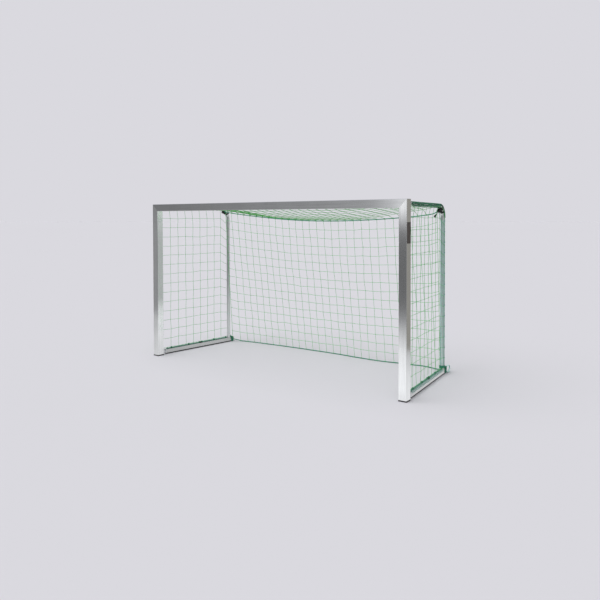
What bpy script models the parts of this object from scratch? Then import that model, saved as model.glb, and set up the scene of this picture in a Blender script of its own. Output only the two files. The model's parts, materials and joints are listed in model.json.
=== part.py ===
"""A small free-standing soccer goal: a mitred aluminium mouth frame, two folding side frames and a net.

Metres, +Z up. The goal stands on the floor at z = 0, its mouth faces -Y, and its left and right are those of
somebody who looks into the mouth. The origin is the middle of the goal's outline on the floor.
"""

import math

import bmesh
import bpy
from mathutils import Matrix, Vector

# The goal's mouth
INSIDE_WIDTH = 3.000
INSIDE_HEIGHT = 1.600
PROFILE = 0.075
PROFILE_WALL = 0.003
PROFILE_EDGE = 0.003
FOOT_HEIGHT = 0.012
FOOT_PROUD = 0.0015
FOOT_PLUG = 0.030

# The corners' inner plates and their screws
CORNER_LEG = 0.120
CORNER_PLATE_PLAY = 0.0045
CORNER_PLATE_THICKNESS = 0.010
CORNER_SCREW_AT = 0.090
SCREW_RADIUS = 0.0037
SCREW_HEAD_RADIUS = 0.0075
SCREW_HEAD_HEIGHT = 0.004

# The hinges behind the posts
HINGE_CLEAR = 0.005
REST_TURN = math.radians(6.5)
PIN_RADIUS = 0.0057
PIN_HEAD_RADIUS = 0.009
PIN_HEAD_HEIGHT = 0.0035
BARREL_RADIUS = 0.013
BARREL_HEIGHT = 0.0254
LUG_THICKNESS = 0.006
LUG_RADIUS = 0.015
BRACKET_PLATE = 0.004
BRACKET_WIDTH = 0.060
BRACKET_LONG_END = 0.058
BRACKET_BOLT_AT = 0.042
BRACKET_BOLT_SPREAD = 0.018
EYE_COLLAR_AT = 0.0215
EYE_NECK = 0.020
EYE_PLUG = 0.045

# The side frames
FRAME_START = 0.030
BAR = 0.040
BAR_WALL = 0.002
BAR_EDGE = 0.002
BAR_TAIL = 0.068
CAP_THICKNESS = 0.004
CAP_PLUG = 0.020
STRIP_HEIGHT = 0.012
STRIP_WIDTH = 0.036
STRIP_FRONT_SETBACK = 0.004
STRIP_REAR_SETBACK = 0.041
TUBE = 0.038
TUBE_WALL = 0.002
HOOP_AT = 0.925
HOOP_BEND = 0.115
PEG_HEIGHT = 0.080
PEG_BOLT_AT = 0.050
PEG_BOLT_RADIUS = 0.003

# The net, its ropes and what holds them
ROPE = 0.010
SIDE_ROPE_START = 0.012
STRAND = 0.004
SIDE_COLUMNS, SIDE_ROWS = 4, 8
BACK_COLUMNS, BACK_ROWS = 14, 7
ROOF_COLUMNS, ROOF_ROWS = 14, 4
ROOF_SAG = 0.020
ROOF_EDGE_BEHIND = 0.0135
ROOF_EDGE_ABOVE = 0.009
NET_SIDE_GAP = 0.026
NET_UNDER_ROPE = 0.0127
NET_BESIDE_ROPE = 0.0008
HOOK_PLAY = 0.0013
HOOK_WALL = 0.0027
HOOK_WEB = 0.0032
HOOK_LENGTH = 0.012
HOOK_STRIP_WIDTH = 0.016
HOOK_STRIP_THICKNESS = 0.0022
HOOK_PITCH = 0.228
ROOF_HOOK_OPENING = (30, 135)
SIDE_HOOK_OPENING = (-46, 136)
CLIP_AT = 0.504
CLIP_LENGTH = 0.036
CLIP_THICKNESS = 0.003
STRAP_WIDTH = 0.018
STRAP_THICKNESS = 0.0025
STRAP_ANGLES = (28.0, 58.0)
LASHING_PAST_HOOP = 0.042
LABEL_HEIGHT = 0.176
LABEL_DEPTH = 0.066
LABEL_BELOW_TOP = 0.191
LABEL_THICKNESS = 0.0006

# The rope between the hoops: share of the half span, fall below its ends, and distance behind them
TOP_ROPE = (
    (-1.00, 0.000, 0.000), (-0.985, 0.007, 0.001), (-0.95, 0.015, 0.002), (-0.85, 0.033, 0.005),
    (-0.70, 0.056, 0.009), (-0.50, 0.082, 0.013), (-0.30, 0.102, 0.016), (-0.10, 0.114, 0.018),
    (0.10, 0.117, 0.018), (0.30, 0.112, 0.016), (0.50, 0.101, 0.013), (0.70, 0.084, 0.009),
    (0.85, 0.067, 0.005), (0.95, 0.049, 0.002), (0.985, 0.028, 0.001), (1.00, 0.000, 0.000),
)
# The rope on the floor: share of the half span, height of its centre, and distance behind its ends
FLOOR_ROPE = (
    (-1.00, 0.0300, 0.000), (-0.985, 0.0290, 0.006), (-0.96, 0.0200, 0.026), (-0.93, 0.0090, 0.050),
    (-0.89, 0.0057, 0.068), (-0.80, 0.0057, 0.081), (-0.60, 0.0057, 0.097), (-0.40, 0.0057, 0.109),
    (-0.15, 0.0057, 0.110), (0.08, 0.0057, 0.105), (0.25, 0.0057, 0.087), (0.42, 0.0057, 0.078),
    (0.52, 0.0057, 0.085), (0.62, 0.0057, 0.104), (0.73, 0.0057, 0.117), (0.82, 0.0057, 0.131),
    (0.90, 0.0057, 0.110), (0.94, 0.0090, 0.082), (0.965, 0.0200, 0.042), (0.985, 0.0290, 0.007),
    (1.00, 0.0300, 0.000),
)
ROPE_POINTS = 57

# Between pieces that touch, how far a cutter runs past what it cuts, and small chamfers
GAP = 0.0003
OVERCUT = 0.001
CHAMFER = 0.002

# Sides of round pieces
TUBE_SIDES = 16
BORE_SIDES = 12
BEND_STEPS = 8

# Worked out from the sizes above
HEIGHT = INSIDE_HEIGHT + PROFILE
HALF_WIDTH = INSIDE_WIDTH / 2 + PROFILE
POST_X = HALF_WIDTH - PROFILE / 2
BAR_Z = STRIP_HEIGHT + BAR / 2
BAR_TOP = STRIP_HEIGHT + BAR
ARM_Z = INSIDE_HEIGHT + PROFILE / 2
HINGE_BACK = max(BAR, TUBE) / 2 + HINGE_CLEAR
HINGE_Y = PROFILE + HINGE_BACK
BAR_END = HOOP_AT + BAR_TAIL
LASHING_AT = HOOP_AT + LASHING_PAST_HOOP
LABEL_BOTTOM = HEIGHT - LABEL_BELOW_TOP - LABEL_HEIGHT
CORNER_PLATE_WIDTH = PROFILE - 2 * (PROFILE_WALL + CORNER_PLATE_PLAY)
PEG_RADIUS = TUBE / 2 - TUBE_WALL - GAP
BAR_PLUG = BAR / 2 - BAR_WALL - GAP
STRAP_BULGE = STRAP_WIDTH ** 2 / 8 / (HOOP_BEND - TUBE / 2)
STRAP_BORE = (TUBE / 2 + GAP + STRAP_BULGE) / math.cos(math.pi / TUBE_SIDES)
ROPE_CLEAR = ROPE / 2 + GAP
HOOK_BORE = STRAND / 2 + HOOK_PLAY
HOOK_RADIUS = HOOK_BORE + HOOK_WALL
ROOF_FRONT = Vector((0.0, PROFILE + ROOF_EDGE_BEHIND, INSIDE_HEIGHT + ROOF_EDGE_ABOVE))
SIDES = {"left": -1, "right": 1}
X, Y, Z = Vector((1, 0, 0)), Vector((0, 1, 0)), Vector((0, 0, 1))


def clear_scene():
    """Removes what a new file holds."""
    for thing in list(bpy.data.objects):
        bpy.data.objects.remove(thing, do_unlink=True)


def material(name, colour, roughness, metallic=0.0):
    """A plain Principled material."""
    found = bpy.data.materials.new(name)
    found.use_nodes = True
    shader = found.node_tree.nodes["Principled BSDF"]
    shader.inputs["Base Color"].default_value = (*colour, 1.0)
    shader.inputs["Roughness"].default_value = roughness
    shader.inputs["Metallic"].default_value = metallic
    return found


def empty(name, location, turn=0.0):
    """An empty that pieces are parented to."""
    holder = bpy.data.objects.new(name, None)
    bpy.context.collection.objects.link(holder)
    holder.location = location
    holder.rotation_euler = (0.0, 0.0, turn)
    return holder


def place(name, data, finish, holder):
    """Links an object of that mesh or curve under its holder."""
    made = bpy.data.objects.new(name, data)
    bpy.context.collection.objects.link(made)
    made.parent = holder
    if finish is not None:
        data.materials.append(finish)
    return made


def mesh_object(name, bm, finish, holder, smooth=True):
    """Turns a bmesh into an object with its faces pointing out."""
    bmesh.ops.recalc_face_normals(bm, faces=bm.faces)
    data = bpy.data.meshes.new(name)
    bm.to_mesh(data)
    bm.free()
    if smooth:
        data.shade_smooth()
        data.set_sharp_from_angle(angle=math.radians(35))
    return place(name, data, finish, holder)


def cutter(name, bm, holder):
    """A mesh that only shapes others."""
    made = mesh_object(name, bm, None, holder, smooth=False)
    made.hide_render = True
    made.display_type = "WIRE"
    return made


def combine(target, other, operation):
    """Adds a Boolean of another object."""
    modifier = target.modifiers.new(operation.lower(), "BOOLEAN")
    modifier.operation = operation
    modifier.solver = "EXACT"
    modifier.object = other


def loft(bm, rings, closed=False):
    """Skins rings of as many points each, and caps the ends or joins the last ring to the first."""
    rows = [[bm.verts.new(point) for point in ring] for ring in rings]
    pairs = list(zip(rows, rows[1:]))
    if closed:
        pairs.append((rows[-1], rows[0]))
    for low, high in pairs:
        for i in range(len(low)):
            j = (i + 1) % len(low)
            bm.faces.new((low[i], low[j], high[j], high[i]))
    if not closed:
        bm.faces.new(list(reversed(rows[0])))
        bm.faces.new(rows[-1])


def box(bm, low, high):
    """A box between two corners."""
    ring = ((low[0], low[1]), (high[0], low[1]), (high[0], high[1]), (low[0], high[1]))
    loft(bm, [[(x, y, z) for x, y in ring] for z in (low[2], high[2])])


def rounded_rectangle(half_a, half_b, radius, steps=2):
    """The outline of a rectangle with round corners, as pairs."""
    outline = []
    for corner, (a, b) in enumerate(((1, 1), (-1, 1), (-1, -1), (1, -1))):
        for k in range(steps + 1):
            turn = math.pi / 2 * (corner + k / steps)
            outline.append((
                a * (half_a - radius) + radius * math.cos(turn),
                b * (half_b - radius) + radius * math.sin(turn),
            ))
    return outline


def circle(radius, count):
    """The points of a circle, as pairs."""
    turns = [2 * math.pi * k / count for k in range(count)]
    return [(radius * math.cos(turn), radius * math.sin(turn)) for turn in turns]


def hexagon(radius, count=12):
    """A hexagon's outline with as many points as a ring needs, as pairs."""
    flat = radius * math.cos(math.pi / 6)
    return [
        (r * math.cos(turn), r * math.sin(turn))
        for turn, r in ((2 * math.pi * k / count, radius if k % 2 == 0 else flat) for k in range(count))
    ]


def along(outlines, frame):
    """Places (outline, distance) pairs on a frame (origin, a direction, b direction, way ahead)."""
    origin, a_way, b_way, ahead = (Vector(v) for v in frame)
    return [[origin + a_way * a + b_way * b + ahead * far for a, b in outline] for outline, far in outlines]


def arc(radius, first, last, steps):
    """Points on an arc about the origin, angles in degrees."""
    turns = [math.radians(first + (last - first) * k / steps) for k in range(steps + 1)]
    return [(radius * math.cos(turn), radius * math.sin(turn)) for turn in turns]


def profile_rings(outline, at_near, at_far, axis):
    """A profile's two end rings, where the near and the far end depend on the outline's first number."""
    rings = []
    for end in (at_near, at_far):
        if axis == "z":
            rings.append([(a, b, end(a)) for a, b in outline])
        else:
            rings.append([(end(a), b, a) for a, b in outline])
    return rings


def hollow_profile(bm, centre_a, at_near, at_far, axis):
    """A square tube whose ends can be mitred; the outline's first number runs across the mitre."""
    half = PROFILE / 2
    outer = [(centre_a + a, half + b) for a, b in rounded_rectangle(half, half, PROFILE_EDGE)]
    inner = [
        (centre_a + a, half + b)
        for a, b in rounded_rectangle(half - PROFILE_WALL, half - PROFILE_WALL, PROFILE_EDGE / 3)
    ]
    out_near, out_far = profile_rings(outer, at_near, at_far, axis)
    in_near, in_far = profile_rings(inner, at_near, at_far, axis)
    loft(bm, [out_near, out_far, in_far, in_near], closed=True)


def bracket_bolt_places(side, level):
    """Where a bracket's two bolts go through the post's rear wall, inner one first, as (x, z)."""
    z = ARM_Z - BRACKET_BOLT_AT if level == "upper" else BAR_Z + BRACKET_BOLT_AT
    return [(side * (POST_X + k * BRACKET_BOLT_SPREAD), z) for k in (-1, 1)]


def hole_cutter(name, places, holder):
    """Cylinders along Y that cut screw holes through the profile's rear wall and the corner plates."""
    bm = bmesh.new()
    ring = circle(SCREW_RADIUS + GAP, BORE_SIDES)
    near = PROFILE - PROFILE_WALL - 2 * GAP - CORNER_PLATE_THICKNESS - OVERCUT
    for x, z in places:
        loft(bm, along([(ring, near), (ring, PROFILE + OVERCUT)], ((x, 0, z), X, Z, Y)))
    return cutter(name, bm, holder)


def mouth_frame(holder, metal, dark, steel):
    """The posts, the crossbar, and what joins them."""
    bm = bmesh.new()
    mitre = GAP / 2
    hollow_profile(
        bm,
        ARM_Z,
        lambda a: -(HALF_WIDTH - (HEIGHT - a)) + mitre,
        lambda a: HALF_WIDTH - (HEIGHT - a) - mitre,
        "x",
    )
    crossbar = mesh_object("crossbar", bm, metal, holder)
    through_plate = PROFILE_WALL + GAP + CORNER_PLATE_THICKNESS
    for word, side in SIDES.items():
        bm = bmesh.new()
        hollow_profile(
            bm,
            side * POST_X,
            lambda a: FOOT_HEIGHT,
            lambda a, s=side: HEIGHT - (HALF_WIDTH - s * a) - mitre,
            "z",
        )
        post = mesh_object("post_" + word, bm, metal, holder)
        screw = (side * (POST_X - CORNER_SCREW_AT), ARM_Z)
        upper, lower = (bracket_bolt_places(side, level) for level in ("upper", "lower"))
        wall_holes = hole_cutter("wall_holes_" + word, [screw] + upper + lower, holder)
        combine(post, wall_holes, "DIFFERENCE")
        combine(crossbar, wall_holes, "DIFFERENCE")
        combine(corner_plate(word, side, holder, metal), wall_holes, "DIFFERENCE")
        post_foot(word, side, holder, dark)
        seat = (screw[0], PROFILE + GAP, screw[1])
        fastener("corner_screw_" + word, seat, through_plate, False, holder, steel)
        seat = PROFILE + BRACKET_PLATE + 2 * GAP
        for k, (x, z) in zip(("inner", "outer"), upper):
            name = "upper_bracket_bolt_%s_%s" % (word, k)
            fastener(name, (x, seat, z), through_plate + BRACKET_PLATE, False, holder, steel)
        for k, (x, z) in zip(("inner", "outer"), lower):
            name = "lower_bracket_bolt_%s_%s" % (word, k)
            fastener(name, (x, seat, z), BRACKET_PLATE + PROFILE_WALL + 3 * GAP, True, holder, steel)


def corner_plate(word, side, holder, metal):
    """The L-shaped plate that holds a mitred corner from inside, against the profile's rear wall."""
    half = CORNER_PLATE_WIDTH / 2
    far = CORNER_LEG
    outline = [(half, half), (half, -far), (-half, -far), (-half, -half), (-far, -half), (-far, half)]
    back = PROFILE - PROFILE_WALL - GAP
    ends = [(outline, back), (outline, back - CORNER_PLATE_THICKNESS)]
    bm = bmesh.new()
    loft(bm, along(ends, ((side * POST_X, 0, ARM_Z), X * side, Z, Y)))
    return mesh_object("corner_plate_" + word, bm, metal, holder, smooth=False)


def fastener(name, seat, length, with_nut, holder, steel):
    """A hexagon-head bolt from behind; length is its shank's, or the grip up to the nut on its end."""
    shank = circle(SCREW_RADIUS, BORE_SIDES)
    head = hexagon(SCREW_HEAD_RADIUS)
    rings = [(head, -SCREW_HEAD_HEIGHT), (head, 0.0), (shank, 0.0), (shank, length)]
    if with_nut:
        nut_end = length + SCREW_HEAD_HEIGHT
        rings += [(head, length), (head, nut_end), (shank, nut_end), (shank, nut_end + SCREW_HEAD_HEIGHT / 2)]
    bm = bmesh.new()
    loft(bm, along(rings, (seat, X, Z, -Y)))
    mesh_object(name, bm, steel, holder)


def post_foot(word, side, holder, dark):
    """The plastic foot under a post, with its plug inside the hollow."""
    half = PROFILE / 2
    flange = rounded_rectangle(half + FOOT_PROUD, half + FOOT_PROUD, PROFILE_EDGE)
    sole = rounded_rectangle(half, half, PROFILE_EDGE)
    plug_half = half - PROFILE_WALL - GAP
    plug = rounded_rectangle(plug_half, plug_half, PROFILE_EDGE / 3)
    tip = rounded_rectangle(plug_half - CHAMFER / 2, plug_half - CHAMFER / 2, PROFILE_EDGE / 3)
    top = FOOT_HEIGHT - GAP
    rings = [
        (sole, 0.0), (flange, FOOT_PROUD), (flange, top), (plug, top),
        (plug, top + FOOT_PLUG - CHAMFER), (tip, top + FOOT_PLUG),
    ]
    bm = bmesh.new()
    loft(bm, along(rings, ((side * POST_X, half, 0), X, Y, Z)))
    mesh_object("post_foot_" + word, bm, dark, holder)


def hinge_bracket(name, side, centre_z, up, holder, steel):
    """A plate behind the post with two lugs, one each side of the barrel; up is the way of its long end."""
    short_end = BARREL_HEIGHT / 2 + GAP + LUG_THICKNESS
    low, high = sorted((centre_z - up * short_end, centre_z + up * BRACKET_LONG_END))
    face = PROFILE + GAP
    axis_x = side * POST_X
    plate = bmesh.new()
    outline = rounded_rectangle(BRACKET_WIDTH / 2, (high - low) / 2, BRACKET_PLATE)
    seat = (axis_x, face, (low + high) / 2)
    loft(plate, along([(outline, 0.0), (outline, BRACKET_PLATE)], (seat, X, Z, Y)))
    lugs = bmesh.new()
    tail = face + OVERCUT - HINGE_Y
    outline = [(-LUG_RADIUS, tail), (LUG_RADIUS, tail)] + arc(LUG_RADIUS, 0, 180, 6)
    for way in (-1, 1):
        near = way * (BARREL_HEIGHT / 2 + GAP)
        far = way * short_end
        loft(lugs, along([(outline, near), (outline, far)], ((axis_x, HINGE_Y, centre_z), X, Y, Z)))
    bracket = mesh_object(name, plate, steel, holder)
    combine(bracket, cutter(name + "_lugs", lugs, holder), "UNION")
    holes = bmesh.new()
    ring = circle(PIN_RADIUS + GAP, BORE_SIDES)
    far = short_end + OVERCUT
    loft(holes, along([(ring, -far), (ring, far)], ((axis_x, HINGE_Y, centre_z), X, Y, Z)))
    bolt_ring = circle(SCREW_RADIUS + GAP, BORE_SIDES)
    for k in (-1, 1):
        spot = (axis_x + k * BRACKET_BOLT_SPREAD, 0, centre_z + up * BRACKET_BOLT_AT)
        ends = [(bolt_ring, face - OVERCUT), (bolt_ring, face + BRACKET_PLATE + OVERCUT)]
        loft(holes, along(ends, (spot, X, Z, Y)))
    combine(bracket, cutter(name + "_holes", holes, holder), "DIFFERENCE")


def hinge_pin(name, side, centre_z, holder, steel):
    """A riveted pin through a bracket's lugs."""
    half = BARREL_HEIGHT / 2 + GAP + LUG_THICKNESS
    shank, head = circle(PIN_RADIUS, BORE_SIDES), circle(PIN_HEAD_RADIUS, BORE_SIDES)
    dome = circle(PIN_HEAD_RADIUS * 0.6, BORE_SIDES)
    seat, edge, top = half + GAP, half + GAP + PIN_HEAD_HEIGHT / 2, half + GAP + PIN_HEAD_HEIGHT
    rings = [(dome, -top), (head, -edge), (head, -seat), (shank, -seat)]
    rings += [(shank, seat), (head, seat), (head, edge), (dome, top)]
    bm = bmesh.new()
    loft(bm, along(rings, ((side * POST_X, HINGE_Y, centre_z), X, Y, Z)))
    mesh_object(name, bm, steel, holder)


def hook_outline(reach, opening):
    """A net hook's outline: a web from its strip and a C about the strand; y is the way out of the strip."""
    root, web = HOOK_STRIP_THICKNESS / 2 - reach, HOOK_WEB / 2
    first, last = opening[0] + 360, opening[1]
    stem = [(-web, -HOOK_RADIUS), (-web, root), (web, root), (web, -HOOK_RADIUS)]
    outer = arc(HOOK_RADIUS, last, 255, 3) + stem + arc(HOOK_RADIUS, 285, first, 3)
    return outer + arc(HOOK_BORE, first, last, 7)


def hook_strip(name, frame, reach, opening, stations, holder, plastic):
    """A strip with net hooks at its stations; the frame's origin lies on the strand's line."""
    half, top = HOOK_STRIP_WIDTH / 2, HOOK_STRIP_THICKNESS - reach
    section = [(half, top), (-half, top), (-half, -reach), (half, -reach)]
    bm = bmesh.new()
    loft(bm, along([(section, stations[0] - HOOK_LENGTH), (section, stations[-1] + HOOK_LENGTH)], frame))
    strip = mesh_object(name, bm, plastic, holder)
    outline = hook_outline(reach, opening)
    hooks = bmesh.new()
    for far in stations:
        loft(hooks, along([(outline, far - HOOK_LENGTH / 2), (outline, far + HOOK_LENGTH / 2)], frame))
    combine(strip, cutter(name + "_hooks", hooks, holder), "UNION")


def net_hooks(holder, plastic):
    """The hook strips behind the crossbar and the posts that hold the net's edge."""
    count = 2 * int(roof_front_half() / HOOK_PITCH)
    stations = [(k - (count - 1) / 2) * HOOK_PITCH for k in range(count)]
    reach = ROOF_FRONT.y - PROFILE - GAP
    hook_strip(
        "net_hooks_crossbar", (ROOF_FRONT, -Z, Y, X), reach, ROOF_HOOK_OPENING, stations, holder, plastic
    )
    low, high = side_net_low(), side_net_top(0)
    pitch = (high - low) / SIDE_ROWS
    stations = [low + pitch * (k + 0.5) for k in range(SIDE_ROWS)]
    for word, side in SIDES.items():
        frame = ((side * POST_X, HINGE_Y, 0), -X * side, Y, Z)
        hook_strip(
            "net_hooks_" + word, frame, HINGE_BACK - GAP, SIDE_HOOK_OPENING, stations, holder, plastic
        )


def blank_label(holder, dark):
    """The plain dark strip on the right post's outer side."""
    x = HALF_WIDTH + GAP
    y = (PROFILE - LABEL_DEPTH) / 2
    bm = bmesh.new()
    box(bm, (x, y, LABEL_BOTTOM), (x + LABEL_THICKNESS, y + LABEL_DEPTH, LABEL_BOTTOM + LABEL_HEIGHT))
    mesh_object("blank_label", bm, dark, holder, smooth=False)


def square_tube(bm, near, far):
    """The ground bar's hollow section from near to far along Y."""
    outer = rounded_rectangle(BAR / 2, BAR / 2, BAR_EDGE)
    inner = rounded_rectangle(BAR / 2 - BAR_WALL, BAR / 2 - BAR_WALL, BAR_EDGE / 4)
    rings = [(outer, near), (outer, far), (inner, far), (inner, near)]
    loft(bm, along(rings, ((0, 0, BAR_Z), X, Z, Y)), closed=True)


def hinge_eye(name, centre_z, collar, plug, holder, metal):
    """A plug in the frame's front end, with a collar and a neck, and a barrel on the pin."""
    start = EYE_COLLAR_AT
    bm = bmesh.new()
    rings = [(collar, start), (collar, FRAME_START - GAP), (plug, FRAME_START - GAP),
             (plug, FRAME_START + EYE_PLUG)]
    loft(bm, along(rings, ((0, 0, centre_z), X, Z, Y)))
    eye = mesh_object(name, bm, metal, holder)
    neck = bmesh.new()
    low, high = centre_z - BARREL_HEIGHT / 2, centre_z + BARREL_HEIGHT / 2
    box(neck, (-EYE_NECK / 2, 0.0, low + OVERCUT), (EYE_NECK / 2, start + OVERCUT, high - OVERCUT))
    combine(eye, cutter(name + "_neck", neck, holder), "UNION")
    barrel = bmesh.new()
    ring = circle(BARREL_RADIUS, TUBE_SIDES)
    loft(barrel, [[(a, b, z) for a, b in ring] for z in (low, high)])
    combine(eye, cutter(name + "_barrel", barrel, holder), "UNION")
    bore = bmesh.new()
    ring = circle(PIN_RADIUS + GAP, BORE_SIDES)
    loft(bore, [[(a, b, z) for a, b in ring] for z in (low - OVERCUT, high + OVERCUT)])
    combine(eye, cutter(name + "_bore", bore, holder), "DIFFERENCE")


def hoop_line():
    """The hoop's centreline in the side plane, as (y, z, way y, way z), from its front end to its foot."""
    centre_y, centre_z = HOOP_AT - HOOP_BEND, ARM_Z - HOOP_BEND
    line = [(FRAME_START, ARM_Z, 1.0, 0.0)]
    for k in range(BEND_STEPS + 1):
        turn = math.pi / 2 * k / BEND_STEPS
        sine, cosine = math.sin(turn), math.cos(turn)
        line.append((centre_y + HOOP_BEND * sine, centre_z + HOOP_BEND * cosine, cosine, -sine))
    line.append((HOOP_AT, BAR_TOP + GAP, 0.0, -1.0))
    return line


def bend_frame(degrees):
    """On the hoop's bend: the centreline's point, its way ahead, and the way to the bend's centre."""
    turn = math.radians(degrees)
    centre = Vector((0, HOOP_AT - HOOP_BEND, ARM_Z - HOOP_BEND))
    out = Vector((0, math.sin(turn), math.cos(turn)))
    return centre + out * HOOP_BEND, Vector((0, math.cos(turn), -math.sin(turn))), -out


def net_hoop(word, holder, metal, steel):
    """The bent tube and the bolt through its foot and the bar's peg; gives the bolt's hole."""
    bm = bmesh.new()
    rings = []
    for radius, line in ((TUBE / 2, hoop_line()), (TUBE / 2 - TUBE_WALL, list(reversed(hoop_line())))):
        for y, z, way_y, way_z in line:
            across = Vector((0, -way_z, way_y))
            rings.append([Vector((0, y, z)) + X * a + across * b for a, b in circle(radius, TUBE_SIDES)])
    loft(bm, rings, closed=True)
    hoop = mesh_object("net_hoop_" + word, bm, metal, holder)
    hole = bolt_hole(word, holder)
    combine(hoop, hole, "DIFFERENCE")
    shank, head = circle(PEG_BOLT_RADIUS, BORE_SIDES), hexagon(PEG_BOLT_RADIUS * 2)
    reach = TUBE / 2 + GAP
    thick = PEG_BOLT_RADIUS * 1.4
    rings = [(head, -reach - thick), (head, -reach), (shank, -reach), (shank, reach), (head, reach),
             (head, reach + thick)]
    bm = bmesh.new()
    loft(bm, along(rings, ((0, HOOP_AT, BAR_TOP + PEG_BOLT_AT), Y, Z, X)))
    mesh_object("peg_bolt_" + word, bm, steel, holder)
    return hole


def bolt_hole(word, holder):
    """The hole across the hoop's foot and its peg."""
    bm = bmesh.new()
    ring = circle(PEG_BOLT_RADIUS + GAP, BORE_SIDES)
    loft(bm, along([(ring, -TUBE), (ring, TUBE)], ((0, HOOP_AT, BAR_TOP + PEG_BOLT_AT), Y, Z, X)))
    return cutter("bolt_hole_" + word, bm, holder)


def ground_bar(word, hole, holder, metal, dark, rubber):
    """The bar on the floor with its welded peg for the hoop, its end cap and the strip under it."""
    bm = bmesh.new()
    square_tube(bm, FRAME_START, BAR_END)
    bar = mesh_object("ground_bar_" + word, bm, metal, holder)
    ring, tip = circle(PEG_RADIUS, TUBE_SIDES), circle(PEG_RADIUS - CHAMFER, TUBE_SIDES)
    top = BAR_TOP + PEG_HEIGHT
    rings = [(ring, BAR_TOP - BAR_WALL / 2), (ring, top - CHAMFER), (tip, top)]
    bm = bmesh.new()
    loft(bm, along(rings, ((0, HOOP_AT, 0), X, Y, Z)))
    combine(bar, cutter("peg_" + word, bm, holder), "UNION")
    combine(bar, hole, "DIFFERENCE")
    flange = rounded_rectangle(BAR / 2, BAR / 2, BAR_EDGE)
    rim = rounded_rectangle(BAR / 2 - CHAMFER, BAR / 2 - CHAMFER, BAR_EDGE)
    plug = rounded_rectangle(BAR_PLUG, BAR_PLUG, BAR_EDGE / 4)
    seat, end = BAR_END + GAP, BAR_END + GAP + CAP_THICKNESS
    rings = [(plug, BAR_END - CAP_PLUG), (plug, seat), (flange, seat), (flange, end - CHAMFER), (rim, end)]
    bm = bmesh.new()
    loft(bm, along(rings, ((0, 0, BAR_Z), X, Z, Y)))
    mesh_object("bar_end_cap_" + word, bm, dark, holder)
    half, top, sole = STRIP_WIDTH / 2, STRIP_HEIGHT - GAP, STRIP_WIDTH / 2 - CHAMFER
    outline = [(half, top), (-half, top), (-half, CHAMFER), (-sole, 0.0), (sole, 0.0), (half, CHAMFER)]
    ends = [(outline, FRAME_START + STRIP_FRONT_SETBACK), (outline, BAR_END - STRIP_REAR_SETBACK)]
    bm = bmesh.new()
    loft(bm, along(ends, ((0, 0, 0), X, Z, Y)))
    mesh_object("floor_strip_" + word, bm, rubber, holder, smooth=False)


def tube_curve(name, points, diameter, finish, holder):
    """A rope as a round tube through its points."""
    data = bpy.data.curves.new(name, "CURVE")
    data.dimensions = "3D"
    data.bevel_depth = diameter / 2
    data.bevel_resolution = 2
    data.use_fill_caps = True
    spline = data.splines.new("POLY")
    spline.points.add(len(points) - 1)
    for spot, point in zip(spline.points, points):
        spot.co = (*point, 1.0)
    return place(name, data, finish, holder)


def smooth_route(points, count):
    """Points evenly spaced in share along a smooth curve through the route's own points."""
    points = [Vector(p) for p in points]
    spans = len(points) - 1
    route = []
    for k in range(count):
        share = min(k / (count - 1) * spans, spans - 1e-9)
        i = int(share)
        t = share - i
        p0, p1, p2, p3 = (points[min(max(i + j, 0), spans)] for j in (-1, 0, 1, 2))
        second = (2 * p0 - 5 * p1 + 4 * p2 - p3) * t ** 2
        third = (3 * p1 - p0 - 3 * p2 + p3) * t ** 3
        route.append((2 * p1 + (p2 - p0) * t + second + third) / 2)
    return route


def at_x(route, x):
    """The route's point at a given x."""
    for a, b in zip(route, route[1:]):
        if a.x <= x <= b.x:
            return a.lerp(b, (x - a.x) / (b.x - a.x))
    return route[0] if x < route[0].x else route[-1]


def from_side(side, inwards, y, z):
    """A point of a side frame, given as distances inwards and along the bar, in the mouth frame's place."""
    turned = Matrix.Rotation(side * REST_TURN, 3, "Z") @ Vector((-side * inwards, y, z))
    return turned + Vector((side * POST_X, HINGE_Y, 0))


def top_rope_end(side):
    """Where the upper rope meets the first strap, inwards and below the hoop."""
    point, _, inner = bend_frame(STRAP_ANGLES[0])
    reach = (STRAP_BORE + STRAP_THICKNESS + GAP + ROPE / 5) * math.sqrt(0.5)
    return from_side(side, reach, point.y + inner.y * reach, point.z + inner.z * reach)


def top_rope_route():
    """The upper rope from hoop to hoop."""
    left, right = top_rope_end(-1), top_rope_end(1)
    half, middle = (right - left) / 2, (left + right) / 2
    knots = [middle + half * share + Vector((0, back, -fall)) for share, fall, back in TOP_ROPE]
    return smooth_route(knots, ROPE_POINTS)


def floor_rope_route():
    """The lower rope from one bar's rear end to the other's."""
    reach = BAR / 2 + 2 * ROPE_CLEAR + GAP
    left, right = (from_side(side, reach, LASHING_AT, 0) for side in (-1, 1))
    half, middle = (right - left) / 2, (left + right) / 2
    knots = [middle + half * share + Vector((0, back, height)) for share, height, back in FLOOR_ROPE]
    return smooth_route(knots, ROPE_POINTS)


def roof_front_half():
    """Half the roof net's width at the crossbar."""
    return POST_X - TUBE / 2 - NET_SIDE_GAP


def back_net_half():
    """Half the back net's width."""
    return POST_X - HOOP_AT * math.sin(REST_TURN) - TUBE / 2 - NET_SIDE_GAP


def front_y():
    """Where the mouth's front lies, so that the origin is the middle of the goal without its loose ropes."""
    bar_end = BAR_END + GAP + CAP_THICKNESS
    rear = HINGE_Y + bar_end * math.cos(REST_TURN) + BAR / 2 * math.sin(REST_TURN)
    lower = floor_rope_route()
    for k in range(BACK_COLUMNS + 1):
        x = (2 * k / BACK_COLUMNS - 1) * back_net_half()
        rear = max(rear, at_x(lower, x).y + STRAND / 2)
    return (FOOT_PROUD - rear) / 2


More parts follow.
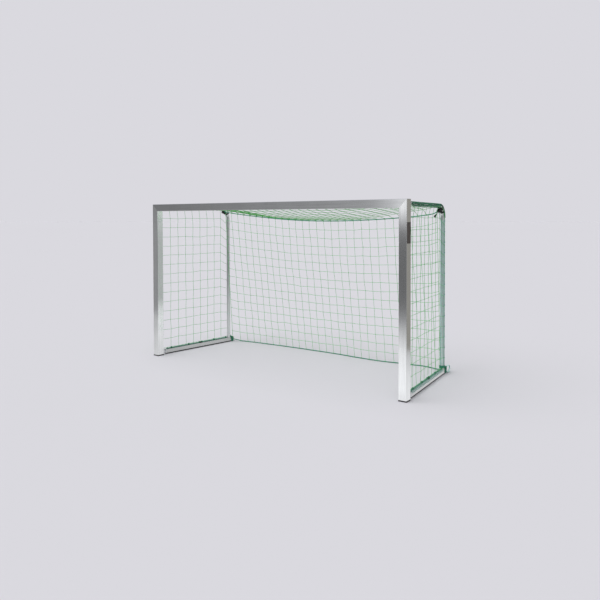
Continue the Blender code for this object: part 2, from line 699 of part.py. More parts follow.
def lattice(name, columns, rows, surface, size, holder, finish):
    """A net: strands on a surface(u, v) with u and v from 0 to 1, made thick by Solidify."""
    edges = []
    for count, length in ((columns, size[0]), (rows, size[1])):
        wide = STRAND / length
        edges.append([k / count * (1 - wide) + side * wide for k in range(count + 1) for side in (0, 1)])
    bm = bmesh.new()
    grid = [[bm.verts.new(surface(u, v)) for u in edges[0]] for v in edges[1]]
    for j in range(len(edges[1]) - 1):
        for i in range(len(edges[0]) - 1):
            if i % 2 == 0 or j % 2 == 0:
                bm.faces.new((grid[j][i], grid[j][i + 1], grid[j + 1][i + 1], grid[j + 1][i]))
    made = mesh_object(name, bm, finish, holder, smooth=False)
    thicken = made.modifiers.new("thickness", "SOLIDIFY")
    thicken.thickness = STRAND
    thicken.offset = 0.0
    return made


def side_net_low():
    """The height of the side net's lower edge, above the bar's clip."""
    return BAR_TOP + 2 * ROPE_CLEAR + CLIP_THICKNESS + GAP


def side_net_top(y):
    """The height of the side net's upper edge, below the arm's rope and inside the hoop's bend."""
    beyond = max(0.0, y - (HOOP_AT - HOOP_BEND))
    inner = HOOP_BEND - TUBE / 2 - 2 * ROPE_CLEAR - GAP
    return ARM_Z - HOOP_BEND + math.sqrt(max(0.0, inner ** 2 - beyond ** 2))


def nets(holder, side_holders, green):
    """The back and roof nets with their ropes, and the side nets."""
    upper, lower = top_rope_route(), floor_rope_route()
    tube_curve("top_rope", upper, ROPE, green, holder)
    tube_curve("floor_rope", lower, ROPE, green, holder)
    beside_rope = ROPE_CLEAR + NET_BESIDE_ROPE
    half_rear = back_net_half()

    def pulled(start, end, clear):
        return start + (end - start).normalized() * clear

    def back(u, v):
        x = (2 * u - 1) * half_rear
        low, high = at_x(lower, x), at_x(upper, x)
        return pulled(low, high, beside_rope).lerp(pulled(high, low, ROPE_CLEAR + NET_UNDER_ROPE), v)

    def roof(u, v):
        front = ROOF_FRONT + X * (2 * u - 1) * roof_front_half()
        rear = pulled(at_x(upper, (2 * u - 1) * half_rear), front, beside_rope)
        front = front - (rear - front).normalized() * STRAND / 2
        return front.lerp(rear, v) - Z * ROOF_SAG * 4 * v * (1 - v)

    lattice("back_net", BACK_COLUMNS, BACK_ROWS, back, (2 * half_rear, INSIDE_HEIGHT), holder, green)
    lattice("roof_net", ROOF_COLUMNS, ROOF_ROWS, roof, (2 * half_rear, HOOP_AT), holder, green)
    low = side_net_low()
    start, end = -STRAND / 2, HOOP_AT - TUBE / 2 - GAP

    def side_surface(u, v):
        y = start + (end - start) * u
        return Vector((0, y, low + (side_net_top(y) - low) * v))

    size = (end - start, side_net_top(start) - low)
    for word, side_holder in side_holders.items():
        lattice("side_net_" + word, SIDE_COLUMNS, SIDE_ROWS, side_surface, size, side_holder, green)


def side_ropes(word, holder, green, black):
    """The ropes along the arm and the bar, the rings at the rear foot, the straps and the clip."""
    arm_low = ARM_Z - TUBE / 2 - ROPE_CLEAR
    bar_high = BAR_TOP + ROPE_CLEAR
    start, arm_end = FRAME_START + SIDE_ROPE_START, HOOP_AT - HOOP_BEND
    arm_line = [(0, y, arm_low) for y in (start, arm_end / 2, arm_end)]
    tube_curve("arm_rope_" + word, arm_line, ROPE, green, holder)
    bar_end = HOOP_AT - TUBE / 2 - 2 * ROPE_CLEAR - GAP
    bar_line = [(0, y, bar_high) for y in (start, CLIP_AT, bar_end)]
    tube_curve("bar_rope_" + word, bar_line, ROPE, green, holder)
    lashing(word, holder, green)
    hoop_strap(word, holder, black)
    bar_clip(word, holder, black)


def ring_tube(bm, path, radius, sides=6):
    """A closed ring of tube along a flat closed path of points."""
    count = len(path)
    normal = (path[1] - path[0]).cross(path[2] - path[1]).normalized()
    rings = []
    for k in range(count):
        ahead = (path[(k + 1) % count] - path[k - 1]).normalized()
        out = ahead.cross(normal)
        rings.append([path[k] + out * a + normal * b for a, b in circle(radius, sides)])
    loft(bm, rings, closed=True)


def lashing(word, holder, green):
    """Two turns of rope: one round the bar's rear end and one round the hoop's foot."""
    bm = bmesh.new()
    reach = BAR / 2 + ROPE_CLEAR
    turn = BAR_EDGE + ROPE * 0.4
    path = [Vector((a, LASHING_AT, BAR_Z + b)) for a, b in rounded_rectangle(reach, reach, turn, 3)]
    ring_tube(bm, path, ROPE / 2)
    rings = mesh_object("corner_lashing_" + word, bm, green, holder)
    bm = bmesh.new()
    ring = circle((TUBE / 2 + ROPE_CLEAR) / math.cos(math.pi / TUBE_SIDES), TUBE_SIDES)
    path = [Vector((a, HOOP_AT + b, BAR_TOP + ROPE_CLEAR)) for a, b in ring]
    ring_tube(bm, path, ROPE / 2)
    combine(rings, cutter("foot_ring_" + word, bm, holder), "UNION")
    bm = bmesh.new()
    far = TUBE / 2 + ROPE_CLEAR
    link = circle(ROPE / 2 - OVERCUT / 2, 8)
    ends = [(link, far), (link, LASHING_AT - HOOP_AT)]
    loft(bm, along(ends, ((0, HOOP_AT, BAR_TOP + ROPE_CLEAR), X, Z, Y)))
    combine(rings, cutter("ring_link_" + word, bm, holder), "UNION")


def hoop_strap(word, holder, black):
    """The black strap, wound twice round the hoop's bend, with the run between its turns."""
    turns = []
    for degrees in STRAP_ANGLES:
        bm = bmesh.new()
        point, ahead, inner = bend_frame(degrees)
        wide, narrow = circle(STRAP_BORE + STRAP_THICKNESS, TUBE_SIDES), circle(STRAP_BORE, TUBE_SIDES)
        half = STRAP_WIDTH / 2
        rings = [(wide, -half), (wide, half), (narrow, half), (narrow, -half)]
        loft(bm, along(rings, (point, X, inner, ahead)), closed=True)
        turns.append(bm)
    strap = mesh_object("hoop_strap_" + word, turns[0], black, holder)
    combine(strap, cutter("second_turn_" + word, turns[1], holder), "UNION")
    first, last = STRAP_ANGLES
    half = STRAP_WIDTH / 2
    low = GAP + STRAP_BULGE
    high = low + STRAP_THICKNESS
    outline = [(-half, low), (half, low), (half, high), (-half, high)]
    rings = []
    for k in range(5):
        point, _, inner = bend_frame(first + (last - first) * k / 4)
        rings.append([point + X * a - inner * (TUBE / 2 + b) for a, b in outline])
    bm = bmesh.new()
    loft(bm, rings)
    combine(strap, cutter("strap_run_" + word, bm, holder), "UNION")


def bar_clip(word, holder, black):
    """The clip that holds the rope on the bar."""
    inner, outer, foot = ROPE_CLEAR, ROPE_CLEAR + CLIP_THICKNESS, BAR / 2 - BAR_EDGE
    outline = [(foot, GAP), (foot, CLIP_THICKNESS), (outer, CLIP_THICKNESS)]
    outline += [(a, ROPE_CLEAR + b) for a, b in arc(outer, 0, 180, 8)]
    outline += [(-outer, CLIP_THICKNESS), (-foot, CLIP_THICKNESS), (-foot, GAP), (-inner, GAP)]
    outline += [(a, ROPE_CLEAR + b) for a, b in arc(inner, 180, 0, 8)]
    outline += [(inner, GAP)]
    ends = [(outline, CLIP_AT - CLIP_LENGTH / 2), (outline, CLIP_AT + CLIP_LENGTH / 2)]
    bm = bmesh.new()
    loft(bm, along(ends, ((0, 0, BAR_TOP), X, Z, Y)))
    mesh_object("bar_clip_" + word, bm, black, holder)


def build():
    """The whole goal."""
    clear_scene()
    metal = material("brushed aluminium", (0.62, 0.63, 0.65), 0.35, 0.9)
    steel = material("zinc-plated steel", (0.45, 0.46, 0.48), 0.4, 0.9)
    dark = material("dark plastic", (0.05, 0.05, 0.055), 0.6)
    rubber = material("black rubber", (0.03, 0.03, 0.032), 0.8)
    plastic = material("grey plastic", (0.12, 0.13, 0.13), 0.5)
    black = material("black webbing", (0.015, 0.018, 0.017), 0.8)
    green = material("green rope", (0.03, 0.22, 0.11), 0.7)
    origin_to_front = front_y()
    frame = empty("mouth_frame", (0, origin_to_front, 0))
    mouth_frame(frame, metal, dark, steel)
    blank_label(frame, dark)
    net_hooks(frame, plastic)
    side_holders = {}
    for word, side in SIDES.items():
        for level, centre_z, up in (("upper", ARM_Z, -1), ("lower", BAR_Z, 1)):
            hinge_bracket("%s_hinge_bracket_%s" % (level, word), side, centre_z, up, frame, steel)
            hinge_pin("%s_hinge_pin_%s" % (level, word), side, centre_z, frame, steel)
        axis = empty("side_%s_axis" % word, (side * POST_X, origin_to_front + HINGE_Y, 0), side * REST_TURN)
        side_holders[word] = axis
        hole = net_hoop(word, axis, metal, steel)
        ground_bar(word, hole, axis, metal, dark, rubber)
        collar, plug = circle(TUBE / 2, TUBE_SIDES), circle(PEG_RADIUS, TUBE_SIDES)
        hinge_eye("upper_hinge_eye_" + word, ARM_Z, collar, plug, axis, metal)
        collar = rounded_rectangle(BAR / 2, BAR / 2, BAR_EDGE)
        plug = rounded_rectangle(BAR_PLUG, BAR_PLUG, BAR_EDGE / 4)
        hinge_eye("lower_hinge_eye_" + word, BAR_Z, collar, plug, axis, metal)
        side_ropes(word, axis, green, black)
    nets(frame, side_holders, green)


build()
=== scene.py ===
"""The looks of a small free-standing soccer goal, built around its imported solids.

Metres, +Z up, in the frame of the solids: the goal stands on z = 0 and its mouth faces -Y. Pieces of a side
frame are made in its own place (outward, along, up) from its hinge axis, and then put on either side.
"""

import json
import math

import bpy
import numpy as np
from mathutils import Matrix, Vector
from mathutils.geometry import convex_hull_2d

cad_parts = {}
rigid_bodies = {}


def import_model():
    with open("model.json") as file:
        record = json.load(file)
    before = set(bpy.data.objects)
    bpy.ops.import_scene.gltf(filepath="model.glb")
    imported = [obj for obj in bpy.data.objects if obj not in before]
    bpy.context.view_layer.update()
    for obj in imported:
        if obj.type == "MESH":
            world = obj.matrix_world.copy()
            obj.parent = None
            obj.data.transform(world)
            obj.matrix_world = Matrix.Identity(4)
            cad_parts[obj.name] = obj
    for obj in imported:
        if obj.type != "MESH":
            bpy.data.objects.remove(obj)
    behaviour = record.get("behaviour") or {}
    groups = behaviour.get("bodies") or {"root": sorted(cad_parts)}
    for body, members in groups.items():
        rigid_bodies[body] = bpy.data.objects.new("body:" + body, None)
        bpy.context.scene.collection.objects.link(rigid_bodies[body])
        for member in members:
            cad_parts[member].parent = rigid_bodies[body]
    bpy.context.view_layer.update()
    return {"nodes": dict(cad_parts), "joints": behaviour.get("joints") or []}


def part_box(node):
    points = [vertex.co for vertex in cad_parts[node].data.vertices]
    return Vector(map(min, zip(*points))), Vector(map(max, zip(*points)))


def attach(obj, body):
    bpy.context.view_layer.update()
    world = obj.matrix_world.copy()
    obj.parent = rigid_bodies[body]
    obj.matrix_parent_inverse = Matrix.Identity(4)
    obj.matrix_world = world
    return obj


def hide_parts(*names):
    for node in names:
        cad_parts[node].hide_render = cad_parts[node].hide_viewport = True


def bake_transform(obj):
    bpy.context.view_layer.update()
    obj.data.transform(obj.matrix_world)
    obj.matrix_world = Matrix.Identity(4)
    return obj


for thing in list(bpy.data.objects):
    bpy.data.objects.remove(thing, do_unlink=True)

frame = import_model()

# Sizes of the construction, as the solids have them
PROFILE = 0.075
INSIDE_HEIGHT = 1.6
TUBE = 0.038
TUBE_WALL = 0.002
BAR = 0.04
BAR_TOP = 0.052
FRAME_START = 0.03
HOOP_AT = 0.925
HOOP_BEND = 0.115
ROPE = 0.01
GAP = 0.0003
ROPE_CLEAR = ROPE / 2 + GAP
LASHING_AT = HOOP_AT + 0.042
STRAP_ANGLES = (28.0, 58.0)
STRAP_WIDTH = 0.018
STRAP_THICKNESS = 0.0025
CLIP_AT = 0.504
NET_SIDE_GAP = 0.026
NET_BESIDE_ROPE = 0.0061
ROOF_EDGE_BEHIND = 0.0135
ROOF_EDGE_ABOVE = 0.009

# The arm's height, how far along it ends at the bend, and how high the upright does
ARM_Z = INSIDE_HEIGHT + PROFILE / 2
ARM_END = HOOP_AT - HOOP_BEND
UPRIGHT_END = ARM_Z - HOOP_BEND

# The real net: its twine, its knots and how many meshes each panel has
TWINE = 0.0033
KNOT = 0.0017
BACK_MESHES, BACK_ROWS, ROOF_ROWS = 29, 16, 9
SIDE_MESHES, SIDE_ROWS = 9, 15
SIDE_NET_LOW = BAR_TOP + 2 * ROPE_CLEAR + TWINE
UNEVEN = 0.0022
# How far the back net's edge hangs outside its solid's edge, close to the upright
EDGE_OUT = 0.0175
# The back net's columns lean to the left in their upper half, by up to an eighth of this
BACK_LEAN = 0.03
# Border strands are thicker by this
EDGE_STRAND = 1.25
# The roof sags in the middle and bulges up beside the arms. On each side the bulge starts at a share of the
# half width, and it is whole a further share outwards. It rises and falls over shares of the roof's depth.
ROOF_SAG = 0.02
ROOF_BULGE = 0.041
ROOF_BULGE_FROM = {"left": 0.26, "right": 0.42}
ROOF_BULGE_OVER = 0.48
ROOF_BULGE_FRONT, ROOF_BULGE_REAR = 0.3, 0.14
# The side net lies this far inside the hoop's middle line, and outside the tubes along its edge
SIDE_NET_INSIDE = 0.012
SIDE_NET_OUT = TUBE / 2 + TWINE * 0.7
SIDE_NET_REAR = HOOP_AT - 0.002

# The cords on a side frame, with angles in degrees up from straight outward. ARM_ROPES has the angle of each
# rope at the post and at the bend.
CORD_START = FRAME_START + 0.012
ARM_ROPES = ((-33, 2), (12, 40))
ARM_INNER_ROPE = -146
ARM_STRANDS, ARM_LOWEST_STRAND, ARM_HIGHEST_STRAND = 10, (-42, -9.6), 75
ARM_LACING_FROM, ARM_LACING_PITCH, ARM_LACING_TURNS = 0.066, 0.052, 13
BAR_LACING_PITCH = 0.0505
BAR_KNOTS = ((0.106, 4), (0.336, 4), (0.698, 4), (0.88, 4), (CLIP_AT - 0.018, 3), (CLIP_AT + 0.018, 3))
BAR_HEMS = ((0.011, 0.0024), (0.0195, 0.001), (0.0224, -0.006), (0.0222, -0.0125))
UPRIGHT_CORD = {"left": (0.004, TUBE / 2 + TWINE * 0.75), "right": (-0.0128, -0.0172)}
UPRIGHT_LOW, UPRIGHT_HIGH = BAR_TOP + 0.02, UPRIGHT_END - 0.01
UPRIGHT_TURNS = {"left": 7, "right": 28}
UPRIGHT_TILT = 0.01
KNOT_REACH = 0.0042
KNOT_PITCH = 0.004
# The strap: its rings' distances off the tube, how they lean, and the run between them in degrees
STRAP_RINGS = (0.0013, 0.0024)
STRAP_LEAN = 0.002
STRAP_RUN, STRAP_RUN_OFF = (22, 32, 42, 52, 64), 0.006
# The strap's knot, as lobes: degrees along the bend, distance off the tube, a shift from there, and radius
STRAP_LOBES = {
    "left": ((20, 0.01, (-0.014, 0.004, 0.0), 0.018), (39, 0.006, (-0.012, 0.0, 0.0), 0.017)),
    "right": ((16, 0.016, (-0.008, -0.018, 0.0), 0.023), (36, 0.01, (0.003, -0.01, 0.0), 0.02)),
}
# The right strap's long and short ends, from the middle of its first lobe
STRAP_TAIL = (
    (0.002, -0.004, -0.022), (-0.006, -0.02, -0.038), (-0.014, -0.036, -0.054), (-0.022, -0.05, -0.07)
)
STRAP_STUB = ((0.01, 0.004, 0.01), (0.022, -0.01, 0.012), (0.026, -0.024, -0.004), (0.02, -0.026, -0.022))
# The strap knot's inward side is crowded between these planes, as the folded arm lies at the crossbar's hooks
PRESS_FROM, PRESS_TO = -0.008, -0.02

# Places that the solids give
SIDES = {"left": -1, "right": 1}
JOINTS = {joint["child"]: joint for joint in frame["joints"]}
POST_X, HINGE_Y, _ = JOINTS["side_frame_right"]["pos_m"]
REST_TURN = -math.radians(JOINTS["side_frame_right"]["range_deg"][0])
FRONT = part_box("crossbar")[0].y
BACK_HALF = POST_X - HOOP_AT * math.sin(REST_TURN) - TUBE / 2 - NET_SIDE_GAP
ROOF_HALF = POST_X - TUBE / 2 - NET_SIDE_GAP
ROOF_FRONT_Y = FRONT + PROFILE + ROOF_EDGE_BEHIND
ROOF_FRONT_Z = INSIDE_HEIGHT + ROOF_EDGE_ABOVE

# The camera, fitted to the frame's corners
CAMERA_AT = (3.84754, -4.94045, 1.49449)
CAMERA_YAW = 0.58439
CAMERA_PITCH = 0.02398
CAMERA_FOCAL_PIXELS = 598.744
CAMERA_CENTRE = (345.0, 235.156)
PICTURE = 600.0
SENSOR = 36.0

# The rope between the hoops: share of the half span, height over its ends, and distance behind them
TOP_ROPE = (
    (-1.0, 0.0, 0.0), (-0.985, -0.007, 0.001), (-0.95, -0.015, 0.002), (-0.85, -0.033, 0.005),
    (-0.7, -0.056, 0.009), (-0.5, -0.082, 0.013), (-0.3, -0.102, 0.016), (-0.1, -0.114, 0.018),
    (0.1, -0.117, 0.018), (0.3, -0.112, 0.016), (0.5, -0.101, 0.013), (0.7, -0.084, 0.009),
    (0.85, -0.067, 0.005), (0.95, -0.049, 0.002), (0.985, -0.028, 0.001), (1.0, 0.0, 0.0),
)
# The rope on the floor: share of the half span, height of its centre (FLAT where it lies there), and distance
# behind its ends
FLAT = 0.0057
FLOOR_ROPE = (
    (-1.0, 0.03, 0.0), (-0.985, 0.029, 0.006), (-0.96, 0.02, 0.026), (-0.93, 0.009, 0.05),
    (-0.89, FLAT, 0.068), (-0.8, FLAT, 0.081), (-0.6, FLAT, 0.097), (-0.4, FLAT, 0.109),
    (-0.15, FLAT, 0.11), (0.08, FLAT, 0.105), (0.25, FLAT, 0.087), (0.42, FLAT, 0.078),
    (0.52, FLAT, 0.085), (0.62, FLAT, 0.104), (0.73, FLAT, 0.117), (0.82, FLAT, 0.131),
    (0.9, FLAT, 0.11), (0.94, 0.009, 0.082), (0.965, 0.02, 0.042), (0.985, 0.029, 0.007),
    (1.0, 0.03, 0.0),
)


# Shapes

class Shape:
    """The points and faces of one piece, with (around, along, crown) at each face corner."""

    def __init__(self):
        self.points, self.faces, self.lay, self.count = [], [], [], 0

    def skin(self, rings, far, crown, closed=False):
        """Skins rings of points; far is each ring's distance along and crown each point's height of lay."""
        count, sides = rings.shape[:2]
        index = self.count + np.arange(count * sides).reshape(count, sides)
        self.points.append(rings.reshape(-1, 3))
        self.count += count * sides
        near = index if closed else index[:-1]
        next_ring = np.roll(index, -1, 0)[:len(near)]
        quads = np.stack([near, np.roll(near, -1, 1), np.roll(next_ring, -1, 1), next_ring], -1)
        around = np.arange(sides) / sides
        near_far, next_far = far[:len(near)], np.roll(far, -1)[:len(near)]
        if closed:
            next_far[-1] = 2 * far[-1] - far[-2]
        lay = np.zeros(quads.shape + (3,))
        lay[..., 0] = np.stack([around, around + 1 / sides, around + 1 / sides, around], -1)
        lay[..., 1] = np.stack([near_far, near_far, next_far, next_far], -1)[:, None]
        lay[..., 2] = crown.reshape(-1)[quads - index[0, 0]]
        self.faces += quads.reshape(-1, 4).tolist()
        self.lay.append(lay.reshape(-1, 3))
        if not closed:
            for ring, at in ((index[0][::-1], far[0]), (index[-1], far[-1])):
                self.faces.append(ring.tolist())
                self.lay.append(np.tile([0.5, at, 0.5], (sides, 1)))

    def mesh(self, name, place=None):
        """The mesh; place is (matrix, shift, mirrored)."""
        points = np.concatenate(self.points)
        faces, lay = self.faces, np.concatenate(self.lay)
        if place is not None:
            turn, shift, mirrored = place
            points = points @ turn.T + shift
            if mirrored:
                starts = np.cumsum([0] + [len(face) for face in faces])
                order = np.concatenate([np.arange(b - 1, a - 1, -1) for a, b in zip(starts, starts[1:])])
                lay = lay[order]
                faces = [face[::-1] for face in faces]
        made = bpy.data.meshes.new(name)
        made.from_pydata(points.tolist(), [], faces)
        attribute = made.attributes.new("lay", "FLOAT_VECTOR", "CORNER")
        attribute.data.foreach_set("vector", lay.astype(np.float32).ravel())
        made.shade_smooth()
        made.set_sharp_from_angle(angle=math.radians(40))
        return made


def distances(path):
    """How far along a path each of its points lies."""
    return np.concatenate([[0.0], np.cumsum(np.linalg.norm(np.diff(path, axis=0), axis=1))])


def evenly(path, step):
    """A path's points, spaced evenly by about a step."""
    path = np.asarray(path, float)
    far = distances(path)
    stations = np.linspace(0, far[-1], max(3, int(round(far[-1] / step)) + 1))
    return np.stack([np.interp(stations, far, path[:, k]) for k in range(3)], -1)


def smooth_route(points, count):
    """Points evenly spaced in share along a smooth curve through the route's own points."""
    points = np.asarray(points, float)
    spans = len(points) - 1
    route = []
    for k in range(count):
        share = min(k / (count - 1) * spans, spans - 1e-9)
        i = int(share)
        t = share - i
        p0, p1, p2, p3 = (points[min(max(i + j, 0), spans)] for j in (-1, 0, 1, 2))
        second = (2 * p0 - 5 * p1 + 4 * p2 - p3) * t ** 2
        third = (3 * p1 - p0 - 3 * p2 + p3) * t ** 3
        route.append((2 * p1 + (p2 - p0) * t + second + third) / 2)
    return np.array(route)


def between(first, last, share):
    """What lies a share of the way from a first to a last value."""
    return first + (last - first) * share


def smooth(points, step):
    """A smooth curve through a few points, at even steps."""
    return evenly(smooth_route(points, 24 * len(points)), step)


def unit(rows):
    """One vector, or rows of them, of unit length."""
    return rows / np.maximum(np.linalg.norm(rows, axis=-1, keepdims=True), 1e-12)


def carried(ahead, guide):
    """Directions square to the way ahead, carried along from a first guide or given at each point."""
    guide = np.asarray(guide, float)
    if guide.ndim == 2:
        return unit(guide - ahead * np.sum(guide * ahead, axis=1, keepdims=True))
    across = []
    for way in ahead:
        guide = guide - way * (guide @ way)
        guide = guide / np.linalg.norm(guide)
        across.append(guide)
    return np.array(across)


def sweep(shape, path, section, guide=None, closed=False):
    """Moves a section, rows of (across, up, crown), along a path."""
    path = np.asarray(path, float)
    if closed:
        ahead = unit(np.roll(path, -1, 0) - np.roll(path, 1, 0))
    else:
        ahead = unit(np.gradient(path, axis=0))
    if guide is None:
        guide = np.eye(3)[np.argmin(np.abs(ahead).sum(0))]
    across = carried(ahead, guide)
    up = np.cross(ahead, across)
    section = np.broadcast_to(section, (len(path),) + np.shape(section)[-2:])
    rings = path[:, None] + across[:, None] * section[..., :1] + up[:, None] * section[..., 1:2]
    shape.skin(rings, distances(path), section[..., 2], closed)


def all_round(count):
    """Angles at even steps round a circle."""
    return 2 * np.pi * np.arange(count) / count


def circle_path(centre, radius, first, second, count):
    """Points round a circle, from its first direction towards its second."""
    turns = all_round(count)
    return centre + radius * (np.cos(turns)[:, None] * first + np.sin(turns)[:, None] * second)


def coil(loop, first, pitch, steps, height):
    """The path of a cord that winds along a level tube; loop is one turn's (outward, up) points."""
    step = np.arange(steps)
    outward, up = loop[step % len(loop)].T
    return np.stack([outward, first + pitch * step / len(loop), height + up], -1)


def wave(random, far, swings, paces):
    """A wave along a strand, whose swing and waves per metre are drawn from their ranges."""
    swing, pace, phase = random.uniform(*swings), random.uniform(*paces), random.uniform(0, 6.28)
    return swing * np.sin(pace * 2 * np.pi * far + phase)


def circle_section(radius, sides):
    """A round section with an even crown."""
    turns = all_round(sides)
    return np.stack([radius * np.cos(turns), radius * np.sin(turns), np.ones(sides)], -1)


def twine(shape, path, diameter=TWINE, sides=6, closed=False, guide=None):
    """A thin strand along a path."""
    sweep(shape, path, circle_section(diameter / 2, sides), guide, closed)


def braided_rope(shape, path, diameter, sides=18):
    """A braided rope, whose strands cross each other both ways round it."""
    relief, pitch, step = 0.2, 3.4, 0.22
    path = evenly(path, diameter * step)
    far = distances(path)
    turns = all_round(sides)
    wind = 2 * np.pi * far[:, None] / (pitch * diameter)
    crown = np.maximum(*(np.abs(np.cos(1.5 * (turns[None] + way * wind))) ** 3 for way in (-1, 1)))
    radius = diameter / 2 * (1 - relief + relief * crown)
    sweep(shape, path, np.stack([radius * np.cos(turns), radius * np.sin(turns), crown], -1))


def band_section(width, thickness):
    """A flat band's section with round edges."""
    w, t = width / 2, thickness / 2
    half = [(w, -t / 2), (w, t / 2), (w - t, t), (0, t), (t - w, t)]
    return np.array([(a, b, 1.0) for a, b in half + [(-a, -b) for a, b in half]])


def taut_loop(circles, clear, count):
    """The loop that a cord makes pulled tight round circles (a, b, radius), as points at even steps."""
    cloud = []
    for a, b, radius in circles:
        reach = radius + clear
        for turn in all_round(48):
            cloud.append(Vector((a + reach * math.cos(turn), b + reach * math.sin(turn))))
    hull = [cloud[k] for k in convex_hull_2d(cloud)]
    start = max(range(len(hull)), key=lambda k: hull[k][1])
    path = np.array([(*point, 0.0) for point in hull[start:] + hull[:start + 1]])
    far = distances(path)
    stations = np.arange(count) / count * far[-1]
    return np.stack([np.interp(stations, far, path[:, k]) for k in range(2)], -1)


# Materials

def new_material(name, roughness, metallic=0.0, **fixed):
    """A material with its Principled shader's fixed values; gives (material, tree, shader)."""
    made = bpy.data.materials.new(name)
    made.use_nodes = True
    shader = made.node_tree.nodes["Principled BSDF"]
    for key, value in {"Roughness": roughness, "Metallic": metallic, **fixed}.items():
        shader.inputs[key.replace("_", " ")].default_value = value
    return made, made.node_tree, shader


def node(tree, kind, sockets=None, **settings):
    """Adds a node, with values or links at its named or numbered sockets."""
    made = tree.nodes.new("ShaderNode" + kind)
    for key, value in settings.items():
        setattr(made, key, value)
    for key, value in (sockets or {}).items():
        if isinstance(value, bpy.types.NodeSocket):
            tree.links.new(value, made.inputs[key])
        else:
            made.inputs[key].default_value = value
    return made


def calc(tree, operation, *values):
    """A Math node's result."""
    return node(tree, "Math", dict(enumerate(values)), operation=operation).outputs[0]


def blend_of(tree, *parts):
    """The sum of (share, socket) parts."""
    total = None
    for share, socket in parts:
        term = calc(tree, "MULTIPLY", socket, share)
        total = term if total is None else calc(tree, "ADD", total, term)
    return total


def ramp(tree, factor, stops):
    """A colour or grey by factor; stops are (place, colour or grey)."""
    made = node(tree, "ValToRGB", {0: factor})
    elements = made.color_ramp.elements
    while len(elements) < len(stops):
        elements.new(0.5)
    for element, (at, tone) in zip(elements, stops):
        element.position = at
        element.color = (*tone, 1.0) if hasattr(tone, "__len__") else (tone, tone, tone, 1.0)
    return made.outputs[0]


def spots(tree):
    """Coordinates fixed to the piece, in metres."""
    return node(tree, "TexCoord").outputs["Object"]


def noise(tree, scale, detail=2.0, roughness=0.5, at=None):
    """Noise at a number of spots per metre, on the piece or at other coordinates."""
    sockets = {"Vector": at or spots(tree), "Scale": scale, "Detail": detail, "Roughness": roughness}
    return node(tree, "TexNoise", sockets).outputs["Fac"]


def streaks(tree, along, turn=0.0, across=900.0, length=6.0, detail=3.0):
    """Noise drawn out along X, Y or Z after a turn about Z."""
    scale = [across, across, across]
    scale["XYZ".index(along)] = length
    turned = node(tree, "Mapping", {"Vector": spots(tree), "Rotation": (0.0, 0.0, turn)}).outputs[0]
    stretched = node(tree, "Mapping", {"Vector": turned, "Scale": scale}).outputs[0]
    return noise(tree, 1.0, detail, at=stretched)


def wire(tree, shader, **sockets):
    """Links sockets to a shader's inputs, whose names have _ for a space."""
    for key, value in sockets.items():
        tree.links.new(value, shader.inputs[key.replace("_", " ")])


def bump(tree, shader, height, distance, strength=1.0):
    """Raises the surface by height."""
    made = node(tree, "Bump", {"Height": height, "Distance": distance, "Strength": strength})
    tree.links.new(made.outputs[0], shader.inputs["Normal"])


def brushed(name, along, turn=0.0, tones=((0.77, 0.785, 0.81), (0.95, 0.965, 0.985)), gloss=(0.1, 0.18)):
    """Anodised aluminium, brushed along its length, with fine wear."""
    made, tree, shader = new_material(name, 0.3, 1.0)
    fine = streaks(tree, along, turn)
    broad = streaks(tree, along, turn, across=70.0, length=1.6, detail=2.0)
    cloud = noise(tree, 7.0, 3.0)
    scratch = streaks(tree, along, turn, across=2600.0, length=30.0, detail=0.0)
    grain = blend_of(tree, (0.45, fine), (0.3, broad), (0.25, cloud))
    colour = ramp(tree, grain, [(0.3, tones[0]), (0.7, tones[1])])
    wire(tree, shader, Base_Color=colour, Roughness=ramp(tree, grain, [(0.28, gloss[1]), (0.72, gloss[0])]))
    bump(tree, shader, blend_of(tree, (0.7, fine), (0.3, scratch)), 0.00004, 0.6)
    return made


def cast_or_cut(name, dark, light, roughness, metallic, scale, distance):
    """A plain finish with grain: zinc, moulded plastic or rubber."""
    made, tree, shader = new_material(name, roughness, metallic)
    fine = noise(tree, scale, 4.0, 0.6)
    broad = noise(tree, scale / 14, 2.0)
    grain = blend_of(tree, (0.5, fine), (0.5, broad))
    rough = ramp(tree, grain, [(0.3, min(1.0, roughness + 0.08)), (0.7, roughness - 0.08)])
    wire(tree, shader, Base_Color=ramp(tree, grain, [(0.32, dark), (0.68, light)]), Roughness=rough)
    bump(tree, shader, fine, distance)
    return made


def parts_of(tree, vector):
    """A vector's three parts."""
    return node(tree, "SeparateXYZ", {0: vector}).outputs[:]


def lay_of(tree):
    """The around, along and crown of a swept piece."""
    return parts_of(tree, node(tree, "Attribute", attribute_name="lay").outputs["Vector"])


def swell(tree, phase):
    """A sine wave between 0 and 1."""
    return calc(tree, "MULTIPLY_ADD", calc(tree, "SINE", phase), 0.5, 0.5)


def helix(tree, around, along, per_metre, starts):
    """A wave that winds round a strand."""
    return swell(tree, blend_of(tree, (2 * math.pi * per_metre, along), (2 * math.pi * starts, around)))


def cordage(name, dark, middle, light, per_metre=260.0, starts=3.0, depth=0.0003):
    """Braided polypropylene rope or twine, whose yarns wind both ways."""
    made, tree, shader = new_material(name, 0.55, Specular_IOR_Level=0.35)
    around, along, crown = lay_of(tree)
    both = [helix(tree, around, along, per_metre, way * starts) for way in (1, -1)]
    yarn = calc(tree, "MAXIMUM", *both)
    patch, fibre = noise(tree, 30.0, 3.0), noise(tree, 2400.0, 1.0)
    # The tone is darker where the crown and the yarns are low and lighter on top of them: painted shade in
    # the braid's grooves and a painted highlight on its crowns.
    tone = blend_of(tree, (0.34, crown), (0.28, yarn), (0.26, patch), (0.12, fibre))
    colour = ramp(tree, tone, [(0.3, dark), (0.58, middle), (0.88, light)])
    wire(tree, shader, Base_Color=colour, Roughness=ramp(tree, fibre, [(0.3, 0.66), (0.7, 0.44)]))
    bump(tree, shader, blend_of(tree, (0.8, yarn), (0.2, fibre)), depth)
    return made


